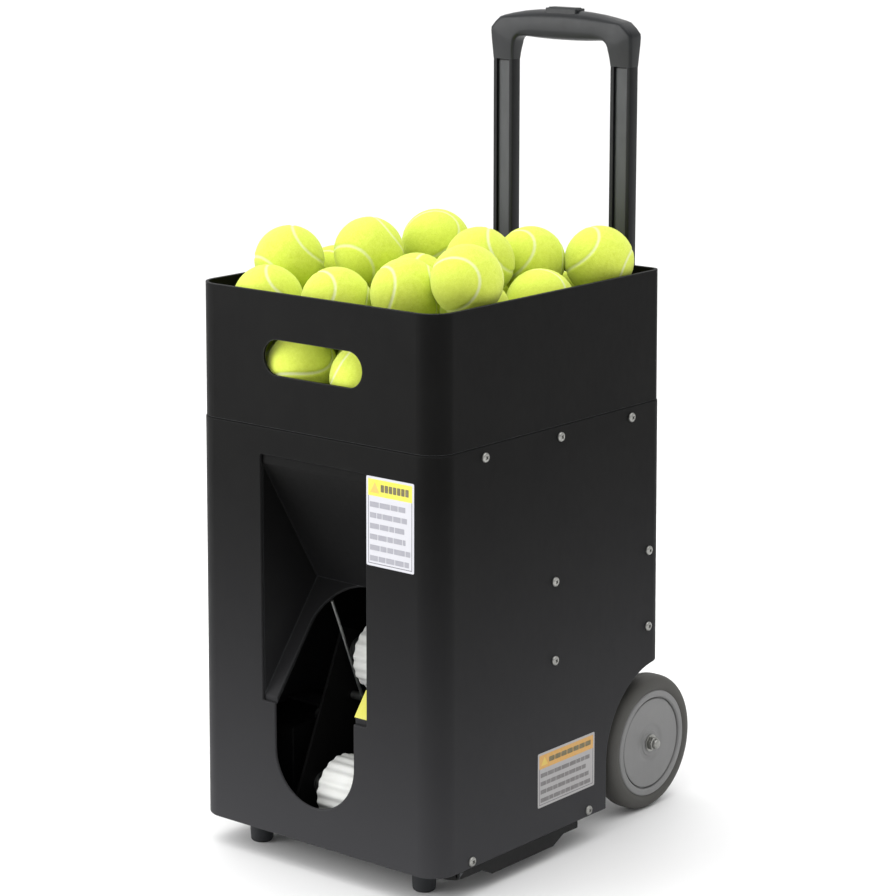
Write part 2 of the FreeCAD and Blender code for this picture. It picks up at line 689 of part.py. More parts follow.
def make_roller(name, sign):
    """A throwing wheel with shallow scallops across its tread, and its drive shaft and motor."""
    depth, height = roller_place(sign)
    middle = ("-roller_half", depth, height)
    blank = rod(f"{name}_blank", "roller_radius", "2 * roller_half", middle, "X")
    count = 22
    bites = []
    for k in range(count):
        turn = 2 * math.pi * k / count
        bites.append(rod(f"{name}_bite_{k}", 3.2, "2 * roller_half + 2", ("-roller_half - 1",
                     f"{depth} + (roller_radius + 1.7) * {math.cos(turn)}",
                     f"{height} + (roller_radius + 1.7) * {math.sin(turn)}"), "X"))
    bites.append(rod(f"{name}_bore", "shaft_radius", "2 * roller_half + 2",
                     ("-roller_half - 1", depth, height), "X"))
    node(f"{name}_throw_wheel", cut(f"{name}_wheel_cut", blank, bites))
    node(f"{name}_shaft", rod(f"{name}_shaft_rod", "shaft_radius", "2 * plate_in + 22",
         ("-plate_in - 5", depth, height), "X"))
    can = fuse(f"{name}_can", [
        rod(f"{name}_can_body", 21, 56, ("plate_in + 5", depth, height), "X"),
        rod(f"{name}_can_end", 9, 4, ("plate_in + 61", depth, height), "X"),
    ])
    bore = rod(f"{name}_can_bore", "shaft_radius + running_gap", 13.3, ("plate_in + 4.7", depth, height), "X")
    node(f"{name}_motor", cut(f"{name}_motor_cut", can, [bore]))


def make_chassis():
    for side, sign in SIDES.items():
        middle = f"{sign} * (chassis_in + 1.5)"
        plate = slab(f"chassis_{side}", "YZ_Plane", [
            (back(72), up(82)), (back(102), up(76)), (back(160), up(56)), (back(160), up(2)),
            (back(205), up(2)), (back(205), up(118)), (back(72), up(112)),
        ], 3, middle)
        bore = rod(f"chassis_bore_{side}", 7.5, 10, (f"{middle} - 5", "head_back", "head_height"), "X")
        reach = ("chassis_in", "chassis_in + 18") if sign > 0 else ("-chassis_in - 18", "-chassis_in")
        toe = box(f"chassis_toe_{side}", reach, (172, 205), ("wall - pan_drop", 3))
        solid = fuse(f"chassis_solid_{side}", [plate, toe])
        node(f"chassis_plate_{side}", cut(f"chassis_cut_{side}", solid, [bore]))
    body = rod("gear_case", 17, 50, ("chassis_in + 3", "head_back", "head_height"), "X")
    hole = rod("gear_bore", "pin_radius + running_gap", 19, ("chassis_in + 2", "head_back", "head_height"),
               "X")
    node("elevation_motor", cut("elevation_motor_cut", body, [hole]))


def make_chute():
    """An elbow: straight down from the bowl, a quarter bend, and a short run to the throwing wheels."""
    top, turn = "bowl_bottom - slack", "chute_exit + chute_bend"
    back_line = "rotor_back + pocket_reach"
    bend_back = f"{back_line} - chute_bend"

    def path(name, radius, extra):
        down = rod(f"{name}_down", radius, f"{top} - ({turn}) + {extra}", (0, back_line, turn))
        bend = doc.addObject("Part::Torus", f"{name}_bend")
        bind(bend, {"Radius1": "chute_bend", "Radius2": radius})
        bend.Angle3 = 90
        turned_down = Rotation(Vector(0, 1, 0), Vector(0, 0, -1), Vector(-1, 0, 0), "XYZ")
        bend.Placement = Placement(Vector(), turned_down)
        place(bend, 0, bend_back, turn)
        out = rod(f"{name}_out", radius, f"{bend_back} - chute_end + {extra}", (0, f"chute_end - {extra}",
                  "chute_exit"), "Y")
        return fuse(name, [down, bend, out])

    skin, way = path("chute_skin", "chute_outer", 0), path("chute_way", "chute_inner", 5)
    node("ball_chute", cut("chute", skin, [way]))


def make_feeder():
    paddles = []
    for k in range(5):
        paddle = box(f"paddle_{k}", (0, 1), (-3, 3), (0, 38))
        bind(paddle, {"Length": "rotor_radius - 20"})
        turn = math.radians(54 + 72 * k)
        paddle.Placement = Placement(Vector(), Rotation(Vector(0, 0, 1), 54 + 72 * k))
        place(paddle, 20 * math.cos(turn) + 3 * math.sin(turn),
              f"rotor_back + {20 * math.sin(turn) - 3 * math.cos(turn)}", "bowl_bottom + wall + 2")
        paddles.append(paddle)
    hub = turned("rotor_hub", [
        ("feed_shaft_radius", "0"), (32, "0"), (32, 38), (24, 46), (10, 52), ("0", 53), ("0", 30),
        ("feed_shaft_radius", 30),
    ], (0, "rotor_back", "bowl_bottom + wall + 2"), "Z")
    node("feed_rotor", fuse("rotor", [hub, *paddles]))
    node("feed_shaft", rod("feed_rod", "feed_shaft_radius", 47, (0, "rotor_back", "bowl_bottom - 12")))
    case = fuse("feed_case", [
        rod("feed_gearbox", 26, 30, (0, "rotor_back", "bowl_bottom - 30")),
        rod("feed_can", 18, 30, (0, "rotor_back", "bowl_bottom - 60")),
    ])
    hole = rod("feed_bore", "feed_shaft_radius + running_gap", 14.5, (0, "rotor_back", "bowl_bottom - 13.5"))
    node("feed_motor", cut("feed_motor_cut", case, [hole]))


# ---------------------------------------------------------------- power and controls

def make_electrics():
    tray_top = "wall - pan_drop + slack"
    node("battery", box("battery_case", (-142, -77), (55, 206), (tray_top, 88)))
    strap = box("strap_outer", (-144.5, -74.5), (120, 145), (tray_top, 90.5))
    inside = box("strap_inner", (-142.3, -76.7), (115, 150), (-20, 88.3))
    node("battery_strap", cut("strap_cut", strap, [inside]))
    node("control_board", box("board", (124, 125.6), (150, 250), (180, 290)))
    stands = [rod(f"stand_{k}", 3, 22, (125.6, depth, height), "X")
              for k, (depth, height) in enumerate(((156, 186), (244, 186), (156, 284), (244, 284)))]
    node("board_standoffs", group("standoffs", stands))
    face = "cabinet_depth - draft_slope * panel_bottom"
    panel = box("panel_plate", ("-panel_half", "panel_half"), (face, f"{face} + panel_thick"),
                ("panel_bottom", "panel_top"))
    knob_places = {"speed": -1, "interval": 0, "elevation": 1}
    holes = [rod(f"{name}_knob_hole", 3.5, 20, (f"{spot} * knob_apart", f"{face} - 5", "knob_row"), "Y")
             for name, spot in knob_places.items()]
    holes.append(box("rocker_hole", (-34.2, -15.8), (f"{face} - 5", f"{face} + 8"),
                     ("switch_row - 13", "switch_row + 13")))
    holes.append(rod("socket_hole", 6, 20, (26, f"{face} - 5", "switch_row"), "Y"))
    holes.append(rod("lamp_hole", 2.5, 20, (0, f"{face} - 5", "lamp_row"), "Y"))
    node("control_panel", cut("panel", panel, holes))
    for name, spot in knob_places.items():
        knob = turned(f"{name}_turned", [
            ("0", -1), (3, -1), (3, 3.4), (10, 3.4), (10, 5), (8.5, 6), (8, 16), (7, 17), ("0", 17),
        ], (f"{spot} * knob_apart", face, "knob_row"), "Y")
        node(f"{name}_knob", knob)
    rocker = slab("rocker_body", "YZ_Plane", [
        (back(f"{face} - 4"), up("switch_row - 11")), (back(f"{face} + 3.5"), up("switch_row - 11")),
        (back(f"{face} + 3.2"), up("switch_row")), (back(f"{face} + 6"), up("switch_row + 11")),
        (back(f"{face} - 4"), up("switch_row + 11")),
    ], 17, "-25")
    pivot = rod("rocker_pivot", 2, 18.2, (-34.1, face, "switch_row"), "X")
    node("power_rocker", fuse("rocker", [rocker, pivot]))
    node("charge_socket", turned("socket_turned", [
        (3.2, -8), (6, -8), (6, 3), (9, 3), (9, 5), (3.2, 5),
    ], (26, face, "switch_row"), "Y"))
    node("pilot_lamp", turned("lamp_turned", [
        ("0", -4), (2.5, -4), (2.5, 3), (3.5, 3), (2.5, 5), ("0", 5.6),
    ], (0, face, "lamp_row"), "Y"))


make_cabinet_shell()
make_muzzle_recess()
make_hopper()
make_hopper_floor()
make_base_pan()
make_arch_liner()
make_labels()
make_side_screws()
make_feet()
make_axle()
for wheel_side, wheel_sign in SIDES.items():
    make_road_wheel(wheel_side, wheel_sign)
make_handle()
make_head()
make_roller("upper", 1)
make_roller("lower", -1)
make_chassis()
make_chute()
make_feeder()
make_electrics()

doc.recompute()
bad = [piece.Label for piece in doc.Objects if "Invalid" in piece.State or "Error" in piece.State]
if bad:
    raise RuntimeError("objects failed: " + ", ".join(bad))
for piece in nodes:
    if piece.Shape.isNull() or not piece.Shape.isValid() or not piece.Shape.Solids:
        raise RuntimeError("bad shape: " + piece.Label)
os.makedirs("parts", exist_ok=True)
for piece in nodes:
    piece.Shape.exportStep(f"parts/{piece.Label}.step")
print(len(nodes), "nodes,", sum(len(piece.Shape.Solids) for piece in nodes), "solids")
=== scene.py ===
import json
import math
import random

import bmesh
import bpy
import numpy as np
from mathutils import Euler, Matrix, Vector


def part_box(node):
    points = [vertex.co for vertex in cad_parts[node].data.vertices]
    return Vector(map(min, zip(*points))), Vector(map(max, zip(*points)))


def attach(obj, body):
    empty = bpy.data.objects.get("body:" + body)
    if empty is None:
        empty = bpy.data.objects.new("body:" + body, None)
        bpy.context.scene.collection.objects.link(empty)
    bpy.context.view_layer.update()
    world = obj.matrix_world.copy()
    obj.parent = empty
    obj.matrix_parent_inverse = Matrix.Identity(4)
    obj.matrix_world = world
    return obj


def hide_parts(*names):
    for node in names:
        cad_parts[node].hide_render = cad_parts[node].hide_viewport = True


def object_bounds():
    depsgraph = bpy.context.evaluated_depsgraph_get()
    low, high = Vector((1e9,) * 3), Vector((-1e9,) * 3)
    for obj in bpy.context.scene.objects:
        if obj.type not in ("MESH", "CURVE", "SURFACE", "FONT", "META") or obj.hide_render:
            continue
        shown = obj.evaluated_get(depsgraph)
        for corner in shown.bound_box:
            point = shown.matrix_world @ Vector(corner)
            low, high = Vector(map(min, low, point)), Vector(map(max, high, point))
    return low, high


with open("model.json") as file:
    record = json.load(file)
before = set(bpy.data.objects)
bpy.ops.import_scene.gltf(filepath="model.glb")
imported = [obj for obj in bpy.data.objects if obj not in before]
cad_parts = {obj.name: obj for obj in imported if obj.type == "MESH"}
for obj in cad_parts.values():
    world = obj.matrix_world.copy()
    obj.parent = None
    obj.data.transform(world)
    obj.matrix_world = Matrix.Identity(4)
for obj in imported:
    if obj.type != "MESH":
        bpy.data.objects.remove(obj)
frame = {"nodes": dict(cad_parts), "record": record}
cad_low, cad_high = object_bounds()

# Tennis ball machine. Lengths in the calls below are millimetres from the housing's front bottom edge:
# x from the middle, y back, z up. at() turns them into the frame's metres.
# Profiles are (distance from the axis, distance along it, rounding of the corner).
MM = 0.001
FRONT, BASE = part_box("cabinet_shell")[0][1:]
NODES = frame["nodes"]
BODY_OF = {name: body for body, names in frame["record"]["behaviour"]["bodies"].items() for name in names}
SLOT_OF = {part["node"]: part["material_slot"] for part in frame["record"]["subparts"]}

WALL_LEAN = 0.0057          # how far the housing's sides lean in for each millimetre of height
WELD = 0.01                 # corners closer than this are one corner
RIM_RADIUS = 54.5           # where tyre and hub meet
TREAD_RADIUS = 35.0         # of the throwing wheels
TREAD_LOBES = 20
BUTTON_HOLE = (17.6, 5.6)   # half length and half depth of the opening round the release button
BUTTON_RIM = (19.6, 7.6)
WELL_DEPTH = 9              # below the top of the grip
HOUSING_SCREW = (4.7, 2.5)  # radius and rise of the head
PANEL_SCREW = (2.8, 1.7)
LABEL_EDGE = 2.3            # from a label's edge to its printed frame
KNOB_NAMES = ("speed_knob", "interval_knob", "elevation_knob")
KNOB_MARKS = 11
BALL = 33.8                 # radius of a tennis ball


def at(x, y, z):
    return Vector((x * MM, FRONT + y * MM, BASE + z * MM))


def extent(name):
    """A CAD node's box in the millimetres used here: (lowest corner, highest corner)."""
    low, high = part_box(name)
    shift = Vector((0, FRONT, BASE))
    return (Vector(low) - shift) / MM, (Vector(high) - shift) / MM


# ---------------------------------------------------------------- materials

def srgb(level):
    level = level / 255
    return level / 12.92 if level <= 0.04045 else ((level + 0.055) / 1.055) ** 2.4


def colour(red, green, blue):
    """A colour given as it is seen on a screen, 0 to 255."""
    return (srgb(red), srgb(green), srgb(blue), 1.0)


def start(name, base, rough, **constants):
    material = bpy.data.materials.new(name)
    material.use_nodes = True
    tree = material.node_tree
    shader = tree.nodes["Principled BSDF"]
    shader.inputs["Base Color"].default_value = base
    shader.inputs["Roughness"].default_value = rough
    for key, value in constants.items():
        shader.inputs[key.replace("_", " ")].default_value = value
    return material, tree, shader


def noise(tree, scale, detail=3.0, stretch=(1, 1, 1), rough=0.5):
    """Noise in the piece's own space. Scale is per metre."""
    place = tree.nodes.new("ShaderNodeTexCoord")
    mapping = tree.nodes.new("ShaderNodeMapping")
    mapping.inputs["Scale"].default_value = stretch
    texture = tree.nodes.new("ShaderNodeTexNoise")
    texture.inputs["Scale"].default_value = scale
    texture.inputs["Detail"].default_value = detail
    texture.inputs["Roughness"].default_value = rough
    tree.links.new(place.outputs["Object"], mapping.inputs["Vector"])
    tree.links.new(mapping.outputs["Vector"], texture.inputs["Vector"])
    return texture.outputs["Fac"]


def remap(tree, value, low, high, start_at=0.3, end_at=0.7):
    node = tree.nodes.new("ShaderNodeMapRange")
    node.inputs["From Min"].default_value = start_at
    node.inputs["From Max"].default_value = end_at
    node.inputs["To Min"].default_value = low
    node.inputs["To Max"].default_value = high
    tree.links.new(value, node.inputs["Value"])
    return node.outputs["Result"]


def mix(tree, factor, first, second):
    node = tree.nodes.new("ShaderNodeMix")
    node.data_type = "RGBA"
    for socket, value in ((node.inputs[0], factor), (node.inputs[6], first), (node.inputs[7], second)):
        if isinstance(value, (tuple, float)):
            socket.default_value = value
        else:
            tree.links.new(value, socket)
    return node.outputs[2]


def bump(tree, shader, height, distance, strength=1.0, after=None):
    node = tree.nodes.new("ShaderNodeBump")
    node.inputs["Distance"].default_value = distance * MM
    node.inputs["Strength"].default_value = strength
    tree.links.new(height, node.inputs["Height"])
    if after is not None:
        tree.links.new(after, node.inputs["Normal"])
    tree.links.new(node.outputs["Normal"], shader.inputs["Normal"])
    return node.outputs["Normal"]


def edge_highlight_mask(tree, radius):
    """0 on flat faces, 1 on outer and inner edges: where plastic() paints its edge highlight."""
    bevel = tree.nodes.new("ShaderNodeBevel")
    bevel.samples = 4
    bevel.inputs["Radius"].default_value = radius * MM
    geometry = tree.nodes.new("ShaderNodeNewGeometry")
    dot = tree.nodes.new("ShaderNodeVectorMath")
    dot.operation = "DOT_PRODUCT"
    tree.links.new(bevel.outputs["Normal"], dot.inputs[0])
    tree.links.new(geometry.outputs["Normal"], dot.inputs[1])
    return remap(tree, dot.outputs["Value"], 1.0, 0.0, 0.86, 0.99)


def floor_light_low_down(tree, top):
    """Mask for painted floor light: 1 at the ground, 0 from a height in metres upward."""
    place = tree.nodes.new("ShaderNodeTexCoord")
    split = tree.nodes.new("ShaderNodeSeparateXYZ")
    tree.links.new(place.outputs["Object"], split.inputs["Vector"])
    curve = tree.nodes.new("ShaderNodeMath")
    curve.operation = "POWER"
    curve.inputs[1].default_value = 1.7
    tree.links.new(remap(tree, split.outputs["Z"], 1.0, 0.0, 0.0, top), curve.inputs[0])
    return curve.outputs["Value"]


def plastic(name, base, worn, rough, grain=0.05, streak=0.12, edges=None, dust_and_floor_light=None, **constants):
    """Moulded plastic: a fine grain, a slow change of shade, faint streaks down its faces, paler edges that
    are a painted highlight, and painted floor light that makes it paler towards the ground.
    """
    material, tree, shader = start(name, base, rough, **constants)
    mottle = noise(tree, 14, 4.0)
    streaks = noise(tree, 70, 3.0, (1, 1, 0.06))
    shade = mix(tree, remap(tree, mottle, 0.0, 0.5), base, worn)
    shade = mix(tree, remap(tree, streaks, 0.0, streak, 0.45, 0.75), shade, worn)
    # Painted light: paler towards the ground, standing in for light bounced up from the floor.
    if dust_and_floor_light:
        shade = mix(tree, floor_light_low_down(tree, 0.42), shade, dust_and_floor_light)
    # Painted highlight: a paler colour along every edge, standing in for light caught on the edges.
    if edges:
        shade = mix(tree, remap(tree, edge_highlight_mask(tree, 0.9), 0.0, 0.6, 0.0, 1.0), shade, edges)
    tree.links.new(shade, shader.inputs["Base Color"])
    scuffs = noise(tree, 160, 6.0, (1, 1, 0.4), 0.65)
    tree.links.new(remap(tree, scuffs, rough - 0.04, rough + 0.06), shader.inputs["Roughness"])
    waves = bump(tree, shader, noise(tree, 22, 2.0), 0.35, 0.25)
    bump(tree, shader, noise(tree, 1900, 2.0), grain, 0.8, waves)
    return material


def metal(name, base, rough, brushed=(1, 1, 1)):
    """Bare metal with dull patches, brushed along the direction in which its noise is stretched."""
    material, tree, shader = start(name, base, rough, Metallic=1.0)
    dull = tuple(channel * 0.55 for channel in base[:3]) + (1.0,)
    patches = remap(tree, noise(tree, 90, 5.0), 0.0, 0.5)
    tree.links.new(mix(tree, patches, base, dull), shader.inputs["Base Color"])
    lines = noise(tree, 900, 4.0, brushed, 0.6)
    tree.links.new(remap(tree, lines, rough - 0.08, rough + 0.12), shader.inputs["Roughness"])
    bump(tree, shader, lines, 0.02, 0.6)
    return material


def rubber(name, base, worn, rough):
    """Matt rubber, dusty in slow patches and in fine specks."""
    material, tree, shader = start(name, base, rough)
    dust_and_floor_light = noise(tree, 45, 6.0, rough=0.6)
    specks = noise(tree, 700, 3.0)
    shade = mix(tree, remap(tree, dust_and_floor_light, 0.0, 0.8), base, worn)
    shade = mix(tree, remap(tree, specks, 0.0, 0.25), shade, worn)
    tree.links.new(shade, shader.inputs["Base Color"])
    tree.links.new(remap(tree, dust_and_floor_light, rough - 0.06, rough + 0.12), shader.inputs["Roughness"])
    bump(tree, shader, noise(tree, 1300, 3.0), 0.12, 0.7)
    return material


def felt():
    """Wool and nylon felt, with the smooth pale rubber seam where the attribute says how near it is."""
    material, tree, shader = start("ball_felt", colour(214, 232, 60), 0.95, Sheen_Weight=0.5,
                                   Sheen_Roughness=0.5)
    shader.inputs["Sheen Tint"].default_value = colour(244, 252, 170)
    shader.inputs["Specular IOR Level"].default_value = 0.12
    tufts = noise(tree, 260, 5.0, rough=0.7)
    fibres = noise(tree, 1500, 4.0, (1, 0.35, 1), 0.7)
    wool = mix(tree, remap(tree, tufts, 0.0, 1.0), colour(208, 223, 74), colour(190, 206, 50))
    wool = mix(tree, remap(tree, fibres, 0.0, 0.7), wool, colour(221, 232, 114))
    distance = tree.nodes.new("ShaderNodeAttribute")
    distance.attribute_name = "seam"
    ragged = tree.nodes.new("ShaderNodeMath")
    ragged.operation = "MULTIPLY_ADD"
    ragged.inputs[1].default_value = 0.9
    tree.links.new(noise(tree, 900, 3.0), ragged.inputs[0])
    tree.links.new(distance.outputs["Fac"], ragged.inputs[2])
    seam = remap(tree, ragged.outputs["Value"], 0.75, 0.0, 1.2, 2.5)
    tree.links.new(mix(tree, seam, wool, colour(222, 228, 176)), shader.inputs["Base Color"])
    coarse = bump(tree, shader, tufts, 0.7, 0.5)
    bump(tree, shader, fibres, 0.35, 0.8, coarse)
    return material


def ink(name, base, rough=0.5):
    """Print or paint on a label, a little faded in patches."""
    material, tree, shader = start(name, base, rough)
    faded = tuple(0.75 * channel + 0.12 for channel in base[:3]) + (1.0,)
    patches = remap(tree, noise(tree, 300, 5.0), 0.0, 0.5)
    tree.links.new(mix(tree, patches, base, faded), shader.inputs["Base Color"])
    bump(tree, shader, noise(tree, 2200, 2.0), 0.02, 0.4)
    return material


def webbing(name, base):
    """Woven strap: dark threads with pale ones between them."""
    material, tree, shader = start(name, base, 0.8)
    weave = noise(tree, 500, 2.0, (0.2, 1, 1))
    pale = tuple(2.5 * channel for channel in base[:3]) + (1.0,)
    tree.links.new(mix(tree, remap(tree, weave, 0.0, 1.0), base, pale), shader.inputs["Base Color"])
    bump(tree, shader, weave, 0.4, 0.8)
    return material


# The edges colours below are painted highlights along the edges of each plastic.
FINISH = {
    # The colour that housing_black is given for low down is painted floor light, and it grows towards the
    # ground.
    "housing_black": plastic("housing_black", colour(12, 12, 12), colour(18, 18, 17), 0.46,
                             edges=colour(104, 106, 108), dust_and_floor_light=colour(58, 58, 60), Specular_IOR_Level=0.06),
    "inner_black": plastic("inner_black", colour(20, 20, 20), colour(27, 27, 27), 0.5,
                           edges=colour(92, 94, 96), Specular_IOR_Level=0.13),
    "handle_black": plastic("handle_black", colour(9, 10, 12), colour(17, 19, 21), 0.42, grain=0.02,
                            Specular_IOR_Level=0.2),
    "grip_black": plastic("grip_black", colour(15, 17, 19), colour(27, 30, 33), 0.34, grain=0.03,
                          edges=colour(60, 65, 69), Specular_IOR_Level=0.3),
    "control_black": plastic("control_black", colour(18, 18, 19), colour(30, 30, 31), 0.42, grain=0.03,
                             edges=colour(80, 80, 80)),
    "foot_rubber": rubber("foot_rubber", colour(20, 22, 25), colour(36, 38, 41), 0.75),
    "tyre_grey": rubber("tyre_grey", colour(56, 55, 52), colour(70, 69, 65), 0.66),
    "hub_grey": plastic("hub_grey", colour(112, 112, 112), colour(122, 122, 121), 0.5, grain=0.04,
                        edges=colour(150, 150, 148)),
    "zinc": metal("zinc", colour(158, 158, 154), 0.36),
    "steel": metal("steel", colour(150, 152, 150), 0.36, (1, 0.05, 1)),
    "black_steel": plastic("black_steel", colour(15, 15, 15), colour(20, 20, 20), 0.55,
                           Specular_IOR_Level=0.1),
    "roller_white": rubber("roller_white", colour(232, 233, 231), colour(222, 223, 218), 0.6),
    "bronze": metal("bronze", colour(190, 140, 80), 0.35),
    "label_white": ink("label_white", colour(193, 193, 199), 0.35),
    "sticker_yellow": ink("sticker_yellow", colour(200, 197, 58), 0.35),
    "motor_steel": metal("motor_steel", colour(90, 90, 92), 0.4, (1, 1, 0.05)),
    "battery_grey": plastic("battery_grey", colour(12, 12, 13), colour(18, 18, 19), 0.55,
                            Specular_IOR_Level=0.15),
    "board_green": plastic("board_green", colour(20, 80, 50), colour(34, 100, 64), 0.35, grain=0.02),
    "strap_black": webbing("strap_black", colour(20, 20, 21)),
    "lamp_green": plastic("lamp_green", colour(40, 190, 80), colour(80, 220, 110), 0.2, grain=0.01,
                          Transmission_Weight=0.3, Coat_Weight=0.6),
}
INK_GREY = ink("ink_grey", colour(146, 146, 154))
INK_LINE = ink("ink_line", colour(84, 84, 90))
INK_YELLOW = ink("ink_yellow", colour(214, 206, 46), 0.35)
INK_ORANGE = ink("ink_orange", colour(196, 146, 60), 0.4)
INK_DARK = ink("ink_dark", colour(92, 82, 34), 0.4)
INK_SIGN = ink("ink_sign", colour(204, 174, 66), 0.4)
INK_DULL = ink("ink_dull", colour(104, 101, 101))
INK_WHITE = ink("ink_white", colour(225, 225, 225))
LABEL_DULL = ink("label_dull", colour(156, 154, 154), 0.4)
STRIP_GREY = plastic("strip_grey", colour(29, 32, 34), colour(40, 44, 46), 0.42, grain=0.02, streak=0.5)
FELT = felt()


# ---------------------------------------------------------------- making pieces

def finish_piece(piece, body, slot=None, stands_for=(), materials=None):
    """Give a new piece its materials, hang it under the empty of the body that it rides on, and hide the
    nodes that it stands for.
    """
    for material in materials or [FINISH[slot]]:
        piece.data.materials.append(material)
    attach(piece, body)
    if stands_for:
        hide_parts(*stands_for)


def to_piece(name, mesh_bm, smooth_angle=35):
    bmesh.ops.recalc_face_normals(mesh_bm, faces=mesh_bm.faces)
    mesh = bpy.data.meshes.new(name)
    mesh_bm.to_mesh(mesh)
    mesh_bm.free()
    mesh.polygons.foreach_set("use_smooth", [True] * len(mesh.polygons))
    mesh.set_sharp_from_angle(angle=math.radians(smooth_angle))
    piece = bpy.data.objects.new(name, mesh)
    bpy.context.scene.collection.objects.link(piece)
    return piece


def soften(piece, width, segments=3, angle=28):
    """Round off the sharp edges, so that they catch the light as moulded edges do."""
    bevel = piece.modifiers.new("soft_edges", "BEVEL")
    bevel.width = width * MM
    bevel.segments = segments
    bevel.limit_method = "ANGLE"
    bevel.angle_limit = math.radians(angle)
    bevel.use_clamp_overlap = False
    bevel.miter_outer = "MITER_ARC"
    normals = piece.modifiers.new("even_shading", "WEIGHTED_NORMAL")
    normals.keep_sharp = True


def carve(piece, low, high, smooth_angle):
    """Sink a straight-sided well into a piece, from corner low to corner high."""
    mesh_bm = bmesh.new()
    bmesh.ops.create_cube(mesh_bm, size=1.0)
    for vert in mesh_bm.verts:
        vert.co = at(*[near if side < 0 else far for near, far, side in zip(low, high, vert.co)])
    cutter = to_piece("well_cutter", mesh_bm)
    well = piece.modifiers.new("well", "BOOLEAN")
    well.operation = "DIFFERENCE"
    well.solver = "EXACT"
    well.object = cutter
    graph = bpy.context.evaluated_depsgraph_get()
    mesh = bpy.data.meshes.new_from_object(piece.evaluated_get(graph))
    mesh.name = piece.name
    piece.modifiers.clear()
    piece.data = mesh
    mesh.polygons.foreach_set("use_smooth", [True] * len(mesh.polygons))
    mesh.set_sharp_from_angle(angle=math.radians(smooth_angle))
    bpy.data.objects.remove(cutter)


def refine(node, width, segments=3):
    """A piece with the node's own shape, its flat faces joined up and its edges rounded."""
    mesh_bm = bmesh.new()
    mesh_bm.from_mesh(NODES[node].data)
    for layer in list(mesh_bm.loops.layers.float_vector):
        mesh_bm.loops.layers.float_vector.remove(layer)
    bmesh.ops.remove_doubles(mesh_bm, verts=mesh_bm.verts, dist=WELD * MM)
    bmesh.ops.dissolve_limit(mesh_bm, angle_limit=math.radians(0.4), verts=mesh_bm.verts,
                             edges=mesh_bm.edges)
    piece = to_piece(node + "_moulded", mesh_bm, 28)
    for extra in [a.name for a in piece.data.attributes if "custom_normal" in a.name]:
        piece.data.attributes.remove(piece.data.attributes[extra])
    soften(piece, width, segments)
    finish_piece(piece, BODY_OF[node], SLOT_OF[node], [node])


def ring(mesh_bm, points):
    return [mesh_bm.verts.new(point) for point in points]


def bridge(mesh_bm, first, second):
    """Join two rings of the same number of corners with a band of faces."""
    count = len(first)
    for k in range(count):
        after = (k + 1) % count
        mesh_bm.faces.new((first[k], first[after], second[after], second[k]))


def lathe(mesh_bm, profile, centre, axis, around, lobes=None):
    """Turn (radius, distance along the axis) round an axis through centre.
    lobes is (count, depth, from radius, to radius): soft waves round the rim."""
    axis = Vector(axis).normalized()
    across = axis.orthogonal().normalized()
    third = axis.cross(across)
    rings = []
    for radius, along in profile:
        if radius < 1e-6:
            rings.append([mesh_bm.verts.new(centre + axis * along * MM)])
            continue
        points = []
        for k in range(around):
            turn = 2 * math.pi * k / around
            reach = radius
            if lobes and lobes[2] <= radius <= lobes[3]:
                reach -= lobes[1] * (0.5 - 0.5 * math.cos(lobes[0] * turn))
            points.append(centre + axis * along * MM
                          + (across * math.cos(turn) + third * math.sin(turn)) * reach * MM)
        rings.append(ring(mesh_bm, points))
    for first, second in zip(rings, rings[1:]):
        if len(first) == 1 or len(second) == 1:
            tip, loop = (first[0], second) if len(first) == 1 else (second[0], first)
            for k in range(around):
                mesh_bm.faces.new((loop[k], loop[(k + 1) % around], tip))
        else:
            bridge(mesh_bm, first, second)


def curve_profile(corners, step=5):
    """Round the inner corners of a (radius, along) outline given as (radius, along, rounding)."""
    points = []
    for k, (x, y, rounding) in enumerate(corners):
        if rounding <= 0 or k in (0, len(corners) - 1):
            points.append((x, y))
            continue
        here = Vector((x, y))
        before = Vector(corners[k - 1][:2]) - here
        after = Vector(corners[k + 1][:2]) - here
        first = here + before.normalized() * min(rounding, before.length * 0.49)
        last = here + after.normalized() * min(rounding, after.length * 0.49)
        for n in range(step + 1):
            t = n / step
            spot = first * (1 - t) ** 2 + here * 2 * t * (1 - t) + last * t ** 2
            points.append((spot.x, spot.y))
    return points


def slab(mesh_bm, origin, across, upward, thickness, outline, material=0):
    """A flat plate. Its outline is (u, v) in millimetres from origin, and it rises along the normal."""
    rise = across.cross(upward) * thickness
    low = ring(mesh_bm, [origin + (across * u + upward * v) * MM for u, v in outline])
    high = ring(mesh_bm, [origin + (across * u + upward * v + rise) * MM for u, v in outline])
    bridge(mesh_bm, low, high)
    faces = [mesh_bm.faces.new(low[::-1]), mesh_bm.faces.new(high)]
    faces += [face for vert in low for face in vert.link_faces]
    for face in faces:
        face.material_index = material


def rounded_rectangle(u0, u1, v0, v1, radius, step=4):
    points = []
    for centre_u, centre_v, begin in ((u1 - radius, v0 + radius, -90), (u1 - radius, v1 - radius, 0),
                                      (u0 + radius, v1 - radius, 90), (u0 + radius, v0 + radius, 180)):
        for k in range(step + 1):
            turn = math.radians(begin + 90 * k / step)
            points.append((centre_u + radius * math.cos(turn), centre_v + radius * math.sin(turn)))
    return points


# ---------------------------------------------------------------- wheels

